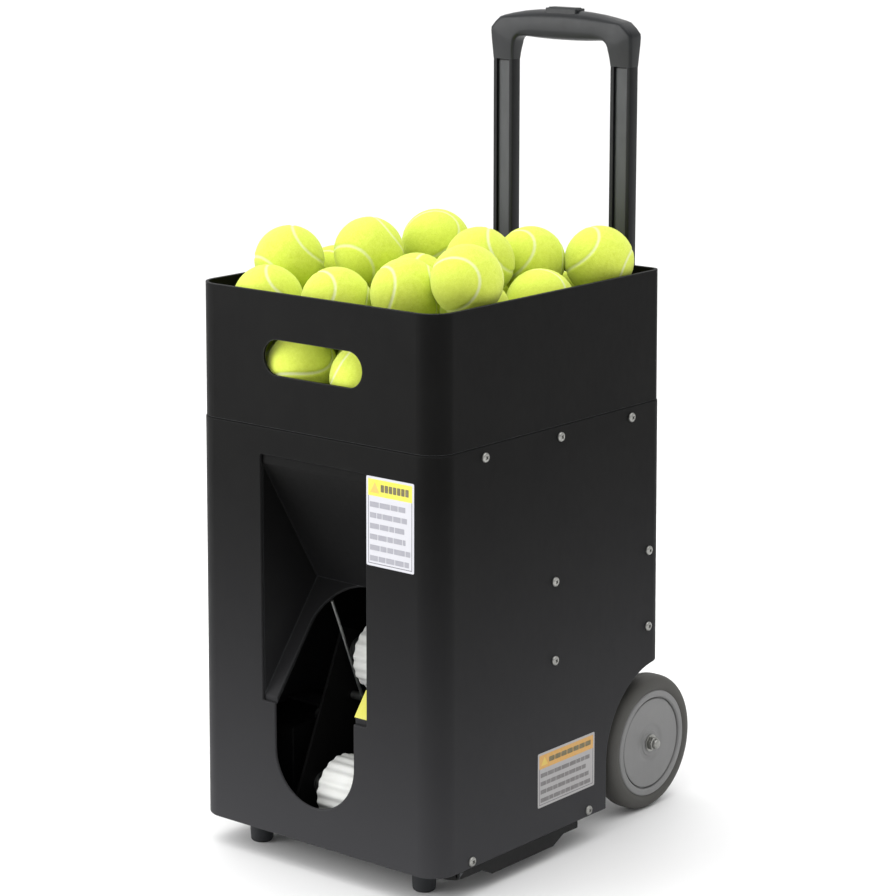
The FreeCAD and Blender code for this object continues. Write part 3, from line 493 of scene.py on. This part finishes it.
def make_tyre(side, sign):
    """A solid tyre with a raised line round each side of its tread. sign is +1 on the +X side."""
    low, high = extent(f"tyre_{side}")
    middle = (low + high) / 2
    outer = (high.z - low.z) / 2
    half = (high.x - low.x) / 2
    corners = [
        (RIM_RADIUS, -half + 2, 0), (56, -half + 0.6, 2), (60, -half, 4), (outer - 3.6, -half + 1.6, 3.5),
        (outer - 0.5, -half + 6, 4), (outer, -2.4, 0.3), (outer - 0.5, -2, 0.3), (outer - 0.5, 2, 0.3),
        (outer, 2.4, 0.3), (outer - 0.5, half - 6, 4), (outer - 3.6, half - 1.6, 3.5), (60, half, 4),
        (56, half - 0.6, 2), (RIM_RADIUS, half - 1.5, 0), (RIM_RADIUS, -half + 2, 0),
    ]
    mesh_bm = bmesh.new()
    lathe(mesh_bm, curve_profile(corners), at(*middle), (sign, 0, 0), 160)
    bmesh.ops.remove_doubles(mesh_bm, verts=mesh_bm.verts, dist=WELD * MM)
    piece = to_piece(f"tyre_{side}_rubber", mesh_bm, 40)
    finish_piece(piece, f"road_wheel_{side}", "tyre_grey", [f"tyre_{side}"])


def make_hub(side, sign):
    """A dished disc with a boss in the middle, a step near its rim and a hollow back."""
    low, high = extent(f"tyre_{side}")
    middle = (low + high) / 2
    corners = [
        (6.1, -16, 0), (14, -16, 0.8), (14, 5, 1), (43, 5, 1), (46, -12, 1), (RIM_RADIUS, -12, 0.6),
        (RIM_RADIUS, 12.6, 0.5), (53.6, 13.6, 1), (48.6, 13.7, 0.8), (47.4, 12.6, 0.4), (47.2, 9.5, 0.3),
        (46, 9.5, 0.3),
        (45.8, 12, 0.6), (44.6, 12.3, 1), (20, 11.6, 2), (17, 10.9, 1), (13, 10.9, 0.5), (12.6, 11.7, 0.4),
        (6.1, 11.7, 0), (6.1, -16, 0),
    ]
    mesh_bm = bmesh.new()
    lathe(mesh_bm, curve_profile(corners, 4), at(*middle), (sign, 0, 0), 144)
    bmesh.ops.remove_doubles(mesh_bm, verts=mesh_bm.verts, dist=WELD * MM)
    piece = to_piece(f"hub_{side}_disc", mesh_bm, 32)
    finish_piece(piece, f"road_wheel_{side}", "hub_grey", [f"wheel_hub_{side}"])


def make_nuts():
    """Domed hexagon nuts, each on a plain washer."""
    low, high = extent("axle_nuts")
    centre_y, centre_z = (low.y + high.y) / 2, (low.z + high.z) / 2
    mesh_bm = bmesh.new()
    for sign in (-1, 1):
        inner = at(sign * (high.x - 10.4), centre_y, centre_z)
        washer = curve_profile([(5, 0, 0), (8.6, 0, 0.4), (9, 1.2, 0.4), (6, 1.4, 0)])
        flats = [(5, 1.4), (6.9, 1.4), (7.2, 1.9), (7.2, 5.2), (6.4, 5.9), (5.4, 6.1)]
        dome = curve_profile([(5.3, 6.0, 0), (5.2, 7.8, 1.5), (3.8, 10.0, 2), (0, 10.4, 0)])
        for profile, around in ((washer, 64), (flats, 6), (dome, 48)):
            lathe(mesh_bm, profile, inner, (sign, 0, 0), around)
    piece = to_piece("axle_nuts_domed", mesh_bm, 40)
    soften(piece, 0.35, 2, 40)
    finish_piece(piece, "housing", "zinc", ["axle_nuts"])


def make_throw_wheel(name):
    """A white wheel with rounded lobes across its tread and a shallow dish in each side."""
    low, high = extent(f"{name}_throw_wheel")
    middle = (low + high) / 2
    half, bore, tread = (high.x - low.x) / 2, 4.0, TREAD_RADIUS
    side = [(bore, half, 0), (12, half, 0.6), (12.8, half - 1.6, 0.6), (28, half - 1.6, 0.8),
            (29.2, half, 0.6), (tread - 1.8, half, 0), (tread - 0.5, half - 0.6, 0.3), (tread, half - 2, 0)]
    corners = side + [(radius, -along, rounding) for radius, along, rounding in side[::-1]]
    corners.append((bore, half, 0))
    lobes = (TREAD_LOBES, 1.4, tread - 2.2, tread + 0.1)
    mesh_bm = bmesh.new()
    lathe(mesh_bm, curve_profile(corners, 3), at(*middle), (1, 0, 0), 264, lobes)
    bmesh.ops.remove_doubles(mesh_bm, verts=mesh_bm.verts, dist=WELD * MM)
    piece = to_piece(f"{name}_throw_wheel_lobed", mesh_bm, 40)
    finish_piece(piece, f"{name}_wheel", "roller_white", [f"{name}_throw_wheel"])


# ---------------------------------------------------------------- handle

def make_tube(side):
    """An extruded tube with eased corners and a shallow channel, floored in satin grey, front and back."""
    low, high = extent(f"inner_tube_{side}")
    centre_x, centre_y = (low.x + high.x) / 2, (low.y + high.y) / 2
    wide, deep = (high.x - low.x) / 2 + 0.2, (high.y - low.y) / 2 + 0.2
    channel, sunk, ease = 7.8, 3.2, 1.6
    quarter = [(channel - 0.3, deep - sunk), (channel, deep - sunk + 0.3), (channel, deep - 0.4),
               (channel + 0.4, deep), (wide - ease, deep), (wide - ease * 0.3, deep - ease * 0.3),
               (wide, deep - ease)]
    outline = [(x, -y) for x, y in quarter] + quarter[::-1]
    outline += [(-x, y) for x, y in quarter] + [(-x, -y) for x, y in quarter[::-1]]
    mesh_bm = bmesh.new()
    rings = [ring(mesh_bm, [at(centre_x + x, centre_y + y, height) for x, y in outline])
             for height in (low.z, high.z)]
    bridge(mesh_bm, *rings)
    mesh_bm.faces.new(rings[0][::-1])
    mesh_bm.faces.new(rings[1])
    strip_top = extent("handle_grip")[0].z - 2
    half, length, floor = channel - 0.4, strip_top - low.z - 4, deep - sunk
    for facing in (-1, 1):
        slab(mesh_bm, at(centre_x, centre_y + facing * (floor - 0.1), low.z + 4), Vector((-facing, 0, 0)),
             Vector((0, 0, 1)), 0.5, rounded_rectangle(-half, half, 0, length, 1.2, 3), 1)
    piece = to_piece(f"handle_stem_{side}", mesh_bm, 30)
    finish_piece(piece, "handle", "handle_black", [f"inner_tube_{side}"],
                 [FINISH["handle_black"], STRIP_GREY])


# Half of the grip from its middle to the end of its skirt: outer x and height above the grip's bottom,
# inner x and height, half depth, rounding of the section.
GRIP_STATIONS = [
    (0, 52, 0, 22.0, 10.0, 9.6), (16, 51.8, 15, 22.1, 10.0, 9.6), (32, 51, 28, 22.5, 10.0, 9.2),
    (48, 49.2, 39, 23.2, 10.0, 8.4), (62, 46.6, 47, 23.8, 10.0, 6.8), (72, 44.2, 51.5, 24.0, 10.0, 5.0),
    (76.5, 42.6, 54, 22.8, 10.0, 4.2), (82.5, 37.5, 56.4, 20.8, 10.0, 3.8), (87.4, 32, 57.8, 18.0, 9.9, 3.6),
    (88, 28.5, 58.4, 15, 9.6, 3.4), (87.8, 21, 59.2, 11.5, 9.0, 3.2), (87.2, 11, 60.0, 6, 8.1, 3.0),
    (86.4, 0, 60.6, 0, 7.3, 2.8),
]


def grip_ring(mesh_bm, sign, centre_y, bottom, station):
    """The grip's section at one station, on the side that sign gives."""
    outer_x, outer_z, inner_x, inner_z, deep, rounding = station
    outer, inner = Vector((outer_x, outer_z)), Vector((inner_x, inner_z))
    middle, half = (outer + inner) / 2, (outer - inner).length / 2
    along = (outer - inner).normalized()
    points = []
    for u, v in rounded_rectangle(-half, half, -deep, deep, rounding, 5):
        spot = middle + along * u
        points.append(at(sign * spot.x, centre_y + v, bottom + spot.y))
    return ring(mesh_bm, points)


def make_grip():
    """The moulded grip with its button well, and a raised rim round the well."""
    low, high = extent("handle_grip")
    centre_y = (low.y + high.y) / 2
    mesh_bm = bmesh.new()
    rings = [grip_ring(mesh_bm, -1, centre_y, low.z, station) for station in GRIP_STATIONS[::-1]]
    rings += [grip_ring(mesh_bm, 1, centre_y, low.z, station) for station in GRIP_STATIONS[1:]]
    for first, second in zip(rings, rings[1:]):
        bridge(mesh_bm, first, second)
    mesh_bm.faces.new(rings[0][::-1])
    mesh_bm.faces.new(rings[-1])
    piece = to_piece("handle_grip_moulded", mesh_bm, 50)
    half_long, half_deep = BUTTON_HOLE[0] - 0.1, BUTTON_HOLE[1] - 0.1
    carve(piece, (-half_long, centre_y - half_deep, high.z - WELL_DEPTH),
          (half_long, centre_y + half_deep, high.z + WELL_DEPTH), 50)
    finish_piece(piece, "handle", "grip_black", ["handle_grip"])
    mesh_bm = bmesh.new()
    rim = rounded_rectangle(-BUTTON_RIM[0], BUTTON_RIM[0], -BUTTON_RIM[1], BUTTON_RIM[1], 2.2)
    hole = rounded_rectangle(-BUTTON_HOLE[0], BUTTON_HOLE[0], -BUTTON_HOLE[1], BUTTON_HOLE[1], 1.2)
    foot, crest = high.z - 4, high.z + 1.6
    loops = []
    for outline, height in ((rim, foot), (rim, crest), (hole, crest), (hole, foot)):
        loops.append(ring(mesh_bm, [at(u, centre_y + v, height) for u, v in outline]))
    for first, second in zip(loops, loops[1:]):
        bridge(mesh_bm, first, second)
    bridge(mesh_bm, loops[-1], loops[0])
    piece = to_piece("button_bezel", mesh_bm, 40)
    soften(piece, 0.5, 2, 40)
    finish_piece(piece, "handle", "grip_black")


# ---------------------------------------------------------------- screws and labels

def screw_head(mesh_bm, centre, axis, radius, height):
    """A pan head with a cross recess, left as a real pit in the dome."""
    axis = Vector(axis).normalized()
    across = axis.orthogonal().normalized()
    third = axis.cross(across)
    around, pit = 40, height * 0.62
    rings = []
    for reach, rise in ((1.0, 0.0), (1.0, 0.35), (0.9, 0.72), (0.72, 0.93), (0.52, 1.0)):
        points = []
        for k in range(around):
            turn = 2 * math.pi * k / around
            points.append(centre + axis * rise * height * MM
                          + (across * math.cos(turn) + third * math.sin(turn)) * reach * radius * MM)
        rings.append(ring(mesh_bm, points))
    cross = []
    for k in range(around):
        turn = 2 * math.pi * k / around
        folded = (turn + math.pi / 4) % (math.pi / 2) - math.pi / 4
        reach = min(0.46, 0.13 / max(abs(math.sin(folded)), 1e-6)) * radius
        cross.append((across * math.cos(turn) + third * math.sin(turn)) * reach * MM)
    rings.append(ring(mesh_bm, [centre + axis * height * MM + spoke for spoke in cross]))
    rings.append(ring(mesh_bm, [centre + axis * (height - pit) * MM + spoke * 0.8 for spoke in cross]))
    for first, second in zip(rings, rings[1:]):
        bridge(mesh_bm, first, second)
    mesh_bm.faces.new(rings[-1])
    mesh_bm.faces.new(rings[0][::-1])


# y and z of the screws in each side of the housing
SCREW_PLACES = [(70.8, 389.3), (183.9, 389.3), (296.5, 389.3), (176, 250.1), (327.6, 250.1),
                (176, 172.4), (327.6, 172.4), (50.1, 6.8), (231, 6.8)]


def wall_x(height):
    """Half of the housing's outside width at a height."""
    return extent("cabinet_shell")[1].x - WALL_LEAN * height


def make_side_screws():
    mesh_bm = bmesh.new()
    for sign in (-1, 1):
        for depth, height in SCREW_PLACES:
            seat = at(sign * (wall_x(height) + 0.02), depth, height)
            screw_head(mesh_bm, seat, (sign, 0, 0), *HOUSING_SCREW)
    finish_piece(to_piece("side_screw_heads", mesh_bm, 50), "housing", "zinc", ["side_screws"])


def text_bars(mesh_bm, chance, origin, across, upward, left, right, baseline, tall, material):
    """A row of plain dashes where a label has a line of print."""
    spot = left
    while spot < right - 3:
        width = min(chance.uniform(5.5, 13), right - spot)
        slab(mesh_bm, origin, across, upward, 0.16,
             rounded_rectangle(spot, spot + width, baseline, baseline + tall, 0.3, 2), material)
        spot += width + 0.8


def frame_line(mesh_bm, origin, across, upward, u0, u1, v0, v1, wide, material):
    """A printed line round a rectangle, as four bars."""
    for a0, a1, b0, b1 in ((u0, u1, v0, v0 + wide), (u0, u1, v1 - wide, v1), (u0, u0 + wide, v0, v1),
                           (u1 - wide, u1, v0, v1)):
        slab(mesh_bm, origin, across, upward, 0.13, [(a0, b0), (a1, b0), (a1, b1), (a0, b1)], material)


def label(name, node, origin, across, upward, header, rows, seed, inks):
    """A sheet with a coloured header, a sign and a row of marks in it, a frame line and rows of dashes.
    Its inks are, in order: sheet, header, frame line, dashes, header marks, sign."""
    low, high = extent(node)
    wide, tall = max(high.x - low.x, high.y - low.y), high.z - low.z
    edge, right, top = LABEL_EDGE, wide - LABEL_EDGE, tall - LABEL_EDGE
    header_low = tall - header
    chance = random.Random(seed)
    mesh_bm = bmesh.new()
    slab(mesh_bm, origin, across, upward, 0.1, rounded_rectangle(0, wide, 0, tall, 1.5), 0)
    slab(mesh_bm, origin, across, upward, 0.14,
         [(edge, header_low), (right, header_low), (right, top), (edge, top)], 1)
    frame_line(mesh_bm, origin, across, upward, edge, right, edge, top, 0.65, 2)
    sign_left, sign_half = edge + 2.5, 5.5
    slab(mesh_bm, origin, across, upward, 0.2,
         [(sign_left, header_low + 3), (sign_left + 2 * sign_half, header_low + 3),
          (sign_left + sign_half, top - 2.5)], 5)
    marks, gap = 7, 0.9
    first = edge + 15
    pace = (right - 4 - first + gap) / marks
    for mark in range(marks):
        begin = first + pace * mark
        outline = rounded_rectangle(begin, begin + pace - gap, header_low + 4.6, top - 4.2, 0.6, 2)
        slab(mesh_bm, origin, across, upward, 0.2, outline, 4)
    pitch = (header_low - edge - 3) / rows
    for row in range(rows):
        baseline = edge + 2.5 + pitch * row
        last = right - 2 - chance.uniform(0, 0.12) * wide
        text_bars(mesh_bm, chance, origin, across, upward, edge + 2, last, baseline, pitch * 0.5, 3)
    finish_piece(to_piece(name, mesh_bm, 30), "housing", "label_white", [node], inks)


def make_labels():
    """The two warning labels follow the leaning walls that they are stuck to."""
    low, high = extent("front_label")
    lean = (high.y - 0.5 - low.y) / (high.z - low.z)
    label("front_label_plate", "front_label", at(low.x, low.y + 0.35, low.z), Vector((1, 0, 0)),
          Vector((0, lean, 1)).normalized(), header=18, rows=6, seed=3,
          inks=[FINISH["label_white"], INK_YELLOW, INK_LINE, INK_GREY, INK_DARK, INK_SIGN])
    low = extent("side_label")[0]
    label("side_label_plate", "side_label", at(wall_x(low.z) + 0.1, low.y, low.z), Vector((0, 1, 0)),
          Vector((-lean, 0, 1)).normalized(), header=16, rows=4, seed=8,
          inks=[LABEL_DULL, INK_ORANGE, INK_LINE, INK_DULL, INK_DARK, INK_SIGN])
    refine("muzzle_sticker", 0.15, 2)


# ---------------------------------------------------------------- control panel

def make_knobs():
    """Fluted knobs on a skirt, each with a white pointer line on its face."""
    for name in KNOB_NAMES:
        low, high = extent(name)
        centre = at((low.x + high.x) / 2, high.y - 17, (low.z + high.z) / 2)
        mesh_bm = bmesh.new()
        profile = curve_profile([(0, -1, 0), (3, -1, 0), (3, 3.5, 0), (10, 3.5, 0.5), (10, 4.8, 0.5),
                                 (8.7, 6, 0.5), (8.1, 15.8, 0), (7.2, 17, 1), (0, 17, 0)])
        lathe(mesh_bm, profile, centre, (0, 1, 0), 240, (20, 0.7, 7.9, 8.8))
        slab(mesh_bm, centre + Vector((0, 16.95 * MM, 0)), Vector((-1, 0, 0)), Vector((0, 0, 1)), 0.25,
             rounded_rectangle(-0.7, 0.7, 1.2, 6.4, 0.4, 2), 1)
        piece = to_piece(name + "_fluted", mesh_bm, 40)
        finish_piece(piece, name, "control_black", [name], [FINISH["control_black"], INK_WHITE])


def make_panel_marks():
    """Scales round the knobs, a line and a ring by the rocker: printed marks standing just off the panel."""
    low, high = extent("control_panel")
    mesh_bm = bmesh.new()
    face = high.y - 0.02
    for name in KNOB_NAMES:
        knob_low, knob_high = extent(name)
        centre = at((knob_low.x + knob_high.x) / 2, face, (knob_low.z + knob_high.z) / 2)
        for k in range(KNOB_MARKS):
            turn = math.radians(-135 + 270 * k / (KNOB_MARKS - 1))
            across = Vector((-math.cos(turn), 0, math.sin(turn)))
            upward = Vector((math.sin(turn), 0, math.cos(turn)))
            reach = 14.2 if k % 5 == 0 else 13.2
            tick = [(-0.3, 11.2), (0.3, 11.2), (0.3, reach), (-0.3, reach)]
            slab(mesh_bm, centre, across, upward, 0.15, tick)
    rocker_low, rocker_high = extent("power_rocker")
    mid = (rocker_low.x + rocker_high.x) / 2
    slab(mesh_bm, at(mid, face, rocker_high.z + 5.5), Vector((-1, 0, 0)), Vector((0, 0, 1)), 0.15,
         rounded_rectangle(-0.4, 0.4, -2.2, 2.2, 0.2, 2))
    lathe(mesh_bm, [(1.6, 0), (2.3, 0), (2.3, 0.15), (1.6, 0.15), (1.6, 0)],
          at(mid, face, rocker_low.z - 5.5), (0, 1, 0), 40)
    finish_piece(to_piece("panel_marks", mesh_bm, 30), "housing", "label_white", (), [INK_WHITE])
    mesh_bm = bmesh.new()
    for x in (low.x + 5, high.x - 5):
        for z in (low.z + 5, high.z - 5):
            screw_head(mesh_bm, at(x, face, z), (0, 1, 0), *PANEL_SCREW)
    finish_piece(to_piece("panel_screws", mesh_bm, 50), "housing", "zinc")


# ---------------------------------------------------------------- tennis balls

# Balls that show: where the middle of each one is, and how it is turned, in degrees.
SEEN_BALLS = [
    ((-112, 96, 541), (75, 5, 40)),
    ((-49, 140, 550), (70, 10, 60)),
    ((-25, 212, 552), (20, 60, 60)),
    ((44, 193.5, 543), (85, 15, 35)),
    ((107.5, 97, 544), (60, 40, 70)),
    ((54, 260, 537), (30, 50, 30)),
    ((109, 297, 538.5), (25, 65, 0)),
    ((-89, 41, 512), (80, 0, 30)),
    ((-18, 58, 515), (50, 60, 35)),
    ((46.5, 83, 527), (35, 30, 20)),
    ((10, 141, 521), (85, 10, 15)),
    ((105, 210, 507), (25, 85, 45)),
    ((-107, 157, 515), (10, 20, 50)),
    ((-47, 41.5, 453), (0, 90, 40)),
    ((32, 42, 452), (5, 65, 85)),
]


def seam_points():
    """The curve that a tennis ball's seam follows, on a sphere of radius 1."""
    major, minor = 0.75, 0.25
    turn = np.linspace(0, 2 * np.pi, 360, endpoint=False)
    return np.stack([major * np.cos(turn) + minor * np.cos(3 * turn),
                     major * np.sin(turn) - minor * np.sin(3 * turn),
                     2 * math.sqrt(major * minor) * np.sin(2 * turn)], axis=1)


def ball_mesh(name, fineness):
    """A felt ball: the seam sinks in, the felt swells beside it, and its surface is a little uneven."""
    mesh_bm = bmesh.new()
    bmesh.ops.create_icosphere(mesh_bm, subdivisions=fineness, radius=1.0)
    mesh = bpy.data.meshes.new(name)
    mesh_bm.to_mesh(mesh)
    mesh_bm.free()
    count = len(mesh.vertices)
    spots = np.empty(count * 3)
    mesh.vertices.foreach_get("co", spots)
    spots = spots.reshape(-1, 3)
    spots /= np.linalg.norm(spots, axis=1, keepdims=True)
    near = np.full(count, 1e9)
    for point in seam_points():
        near = np.minimum(near, np.linalg.norm(spots - point, axis=1))
    distance = near * BALL
    groove = np.clip(1 - distance / 2.2, 0, 1) ** 0.8
    swell = np.exp(-((distance - 3.6) / 1.8) ** 2)
    chance = np.random.default_rng(11)
    radius = BALL - 0.6 * groove + 0.15 * swell - 0.15 + chance.uniform(-0.16, 0.12, count)
    mesh.vertices.foreach_set("co", (spots * radius[:, None] * MM).ravel())
    layer = mesh.attributes.new("seam", "FLOAT", "POINT")
    layer.data.foreach_set("value", distance.astype(np.float32))
    mesh.polygons.foreach_set("use_smooth", [True] * len(mesh.polygons))
    mesh.materials.append(FELT)
    return mesh


def overlaps(balls):
    """How far each ball pushes into each other one, and the unit direction away from it."""
    apart = balls[:, None, :] - balls[None, :, :]
    reach = np.linalg.norm(apart, axis=2) + np.eye(len(balls)) * 1e6
    return 2 * BALL - reach, apart / reach[:, :, None]


def settle(fixed, loose):
    """Let loose balls sink and push each other apart, inside the hopper's walls and off the fixed ones.
    Then take out the ones that still stick into another by more than the deepest overlap allowed."""
    floor_top = extent("hopper_floor")[1].z
    shell_low, shell_high = extent("hopper_shell")
    gap = 5.5 + BALL
    low = np.array([shell_low.x + gap, shell_low.y + gap + 1, floor_top + BALL])
    high = np.array([shell_high.x - gap, shell_high.y - gap - 2, shell_high.z - 25])
    balls = np.array(fixed + loose, float)
    held = len(fixed)
    steps, fall = 900, 0.25
    for step in range(steps):
        depth, away = overlaps(balls)
        push = (away * np.clip(depth, 0, None)[:, :, None]).sum(axis=1)
        balls[held:] += push[held:] * 0.5
        if step < steps * 0.7:
            balls[held:, 2] -= fall
        balls[held:] = np.clip(balls[held:], low, high)
    deepest_allowed = 2.5
    while True:
        worst = overlaps(balls)[0].max(axis=1)
        worst[:held] = 0
        if worst.max() <= deepest_allowed:
            return balls
        balls = np.delete(balls, int(worst.argmax()), axis=0)


def make_balls():
    """The balls that show, and two loose layers of three by four under and behind them."""
    loose = [(-105 + 105 * column + 3 * (row % 2), 42 + 87.3 * row, 448 + (column + row) % 2)
             for column in range(3) for row in range(4)]
    loose += [(-85 + 85 * column + 9 * (row % 2), 75 + 76.6 * row, 495 + (column * row) % 3)
              for column in range(3) for row in range(4)]
    fixed = [place for place, turn in SEEN_BALLS]
    chance = random.Random(5)
    fine, plain = ball_mesh("ball_fine", 6), ball_mesh("ball_plain", 5)
    for k, place in enumerate(settle(fixed, loose)):
        if k < len(fixed):
            turn = [math.radians(angle) for angle in SEEN_BALLS[k][1]]
        else:
            turn = [chance.uniform(0, 2 * math.pi) for _ in range(3)]
        piece = bpy.data.objects.new(f"ball_{k:02d}", fine if k < len(fixed) else plain)
        bpy.context.scene.collection.objects.link(piece)
        piece.matrix_world = Matrix.Translation(at(*place)) @ Euler(turn).to_matrix().to_4x4()
        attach(piece, "housing")


# ---------------------------------------------------------------- everything else

# Nodes that keep their own shape, and how far their edges are rounded.
REFINED = {
    "cabinet_shell": 1.4, "muzzle_recess": 0.9, "hopper_shell": 0.3, "hopper_floor": 1.0, "base_pan": 1.0,
    "wheel_arch_liner": 0.6, "axle_brackets": 0.5, "handle_tube_left": 0.5, "handle_tube_right": 0.5,
    "handle_collars": 0.9, "handle_beams": 0.8, "rear_cross_member": 0.7, "front_feet": 0.8,
    "control_panel": 0.8, "power_rocker": 0.8, "charge_socket": 0.5, "handle_button": 0.8,
    "head_plate_left": 0.4, "head_plate_right": 0.4,
    "feed_rotor": 0.8, "battery": 1.5, "chassis_plate_left": 0.4, "chassis_plate_right": 0.4,
}


def make_stage():
    """A round studio floor, in metres, whose rim sweeps up far behind everything."""
    mesh_bm = bmesh.new()
    sides = 128
    turns = [2 * math.pi * k / sides for k in range(sides)]
    rings = []
    for reach, rise in ((8, 0), (9.5, 0.12), (11, 0.5), (12.3, 1.2), (13.3, 2.2), (14, 3.6)):
        height = cad_low[2] + rise
        rings.append(ring(mesh_bm, [(reach * math.cos(turn), reach * math.sin(turn), height)
                                    for turn in turns]))
    mesh_bm.faces.new(rings[0])
    for lower_ring, upper_ring in zip(rings, rings[1:]):
        bridge(mesh_bm, lower_ring, upper_ring)
    floor = to_piece("studio_floor", mesh_bm, 60)
    material, tree, shader = start("studio_floor", (0.86, 0.86, 0.86, 1), 0.6)
    tree.links.new(remap(tree, noise(tree, 30, 3.0), 0.58, 0.66), shader.inputs["Roughness"])
    floor.data.materials.append(material)


def area_light(name, place, target, size, power):
    light = bpy.data.lights.new(name, "AREA")
    light.shape = "RECTANGLE"
    light.size, light.size_y = size
    light.energy = power
    lamp = bpy.data.objects.new(name, light)
    bpy.context.scene.collection.objects.link(lamp)
    lamp.location = place
    lamp.rotation_euler = (Vector(target) - Vector(place)).to_track_quat("-Z", "Y").to_euler()


def make_light():
    """A bright ceiling that falls off to a dimmer horizon, dimmest on the +X side, and two soft boxes."""
    world = bpy.data.worlds.new("studio")
    world.use_nodes = True
    tree = world.node_tree
    place = tree.nodes.new("ShaderNodeTexCoord")
    split = tree.nodes.new("ShaderNodeSeparateXYZ")
    tree.links.new(place.outputs["Generated"], split.inputs["Vector"])
    upward = remap(tree, split.outputs["Z"], 0.35, 1.95, 0.0, 1.0)
    sideways = remap(tree, split.outputs["X"], 1.2, 0.54, -1.0, 1.0)
    product = tree.nodes.new("ShaderNodeMath")
    product.operation = "MULTIPLY"
    tree.links.new(upward, product.inputs[0])
    tree.links.new(sideways, product.inputs[1])
    tree.links.new(product.outputs["Value"], tree.nodes["Background"].inputs["Strength"])
    tree.nodes["Background"].inputs["Color"].default_value = (1.0, 1.0, 1.0, 1)
    bpy.context.scene.world = world
    area_light("overhead", (0.2, -0.3, 3.2), (0, 0, 0.3), (3.5, 3.5), 45)
    area_light("front_left", (-2.2, -2.7, 1.1), (0, 0, 0.35), (2.2, 1.8), 60)
    bpy.context.scene.view_settings.view_transform = "Standard"
    bpy.context.scene.view_settings.look = "None"


def make_camera():
    data = bpy.data.cameras.new("camera")
    data.lens = 114.9
    data.sensor_width = 36
    data.clip_end = 60
    camera = bpy.data.objects.new("camera", data)
    bpy.context.scene.collection.objects.link(camera)
    camera.location = at(1738.1, -1902.9, 971.8)
    camera.rotation_euler = (math.radians(77.24), 0, math.radians(39.58))
    bpy.context.scene.camera = camera


make_stage()
make_light()
make_camera()
for wheel_side, wheel_sign in (("left", -1), ("right", 1)):
    make_tyre(wheel_side, wheel_sign)
    make_hub(wheel_side, wheel_sign)
    make_tube(wheel_side)
make_throw_wheel("upper")
make_throw_wheel("lower")
make_nuts()
make_grip()
make_side_screws()
make_labels()
make_knobs()
make_panel_marks()
make_balls()
for refined_node, refined_width in REFINED.items():
    refine(refined_node, refined_width)
for plain_node, plain_object in NODES.items():
    plain_object.data.materials.clear()
    plain_object.data.materials.append(FINISH[SLOT_OF[plain_node]])
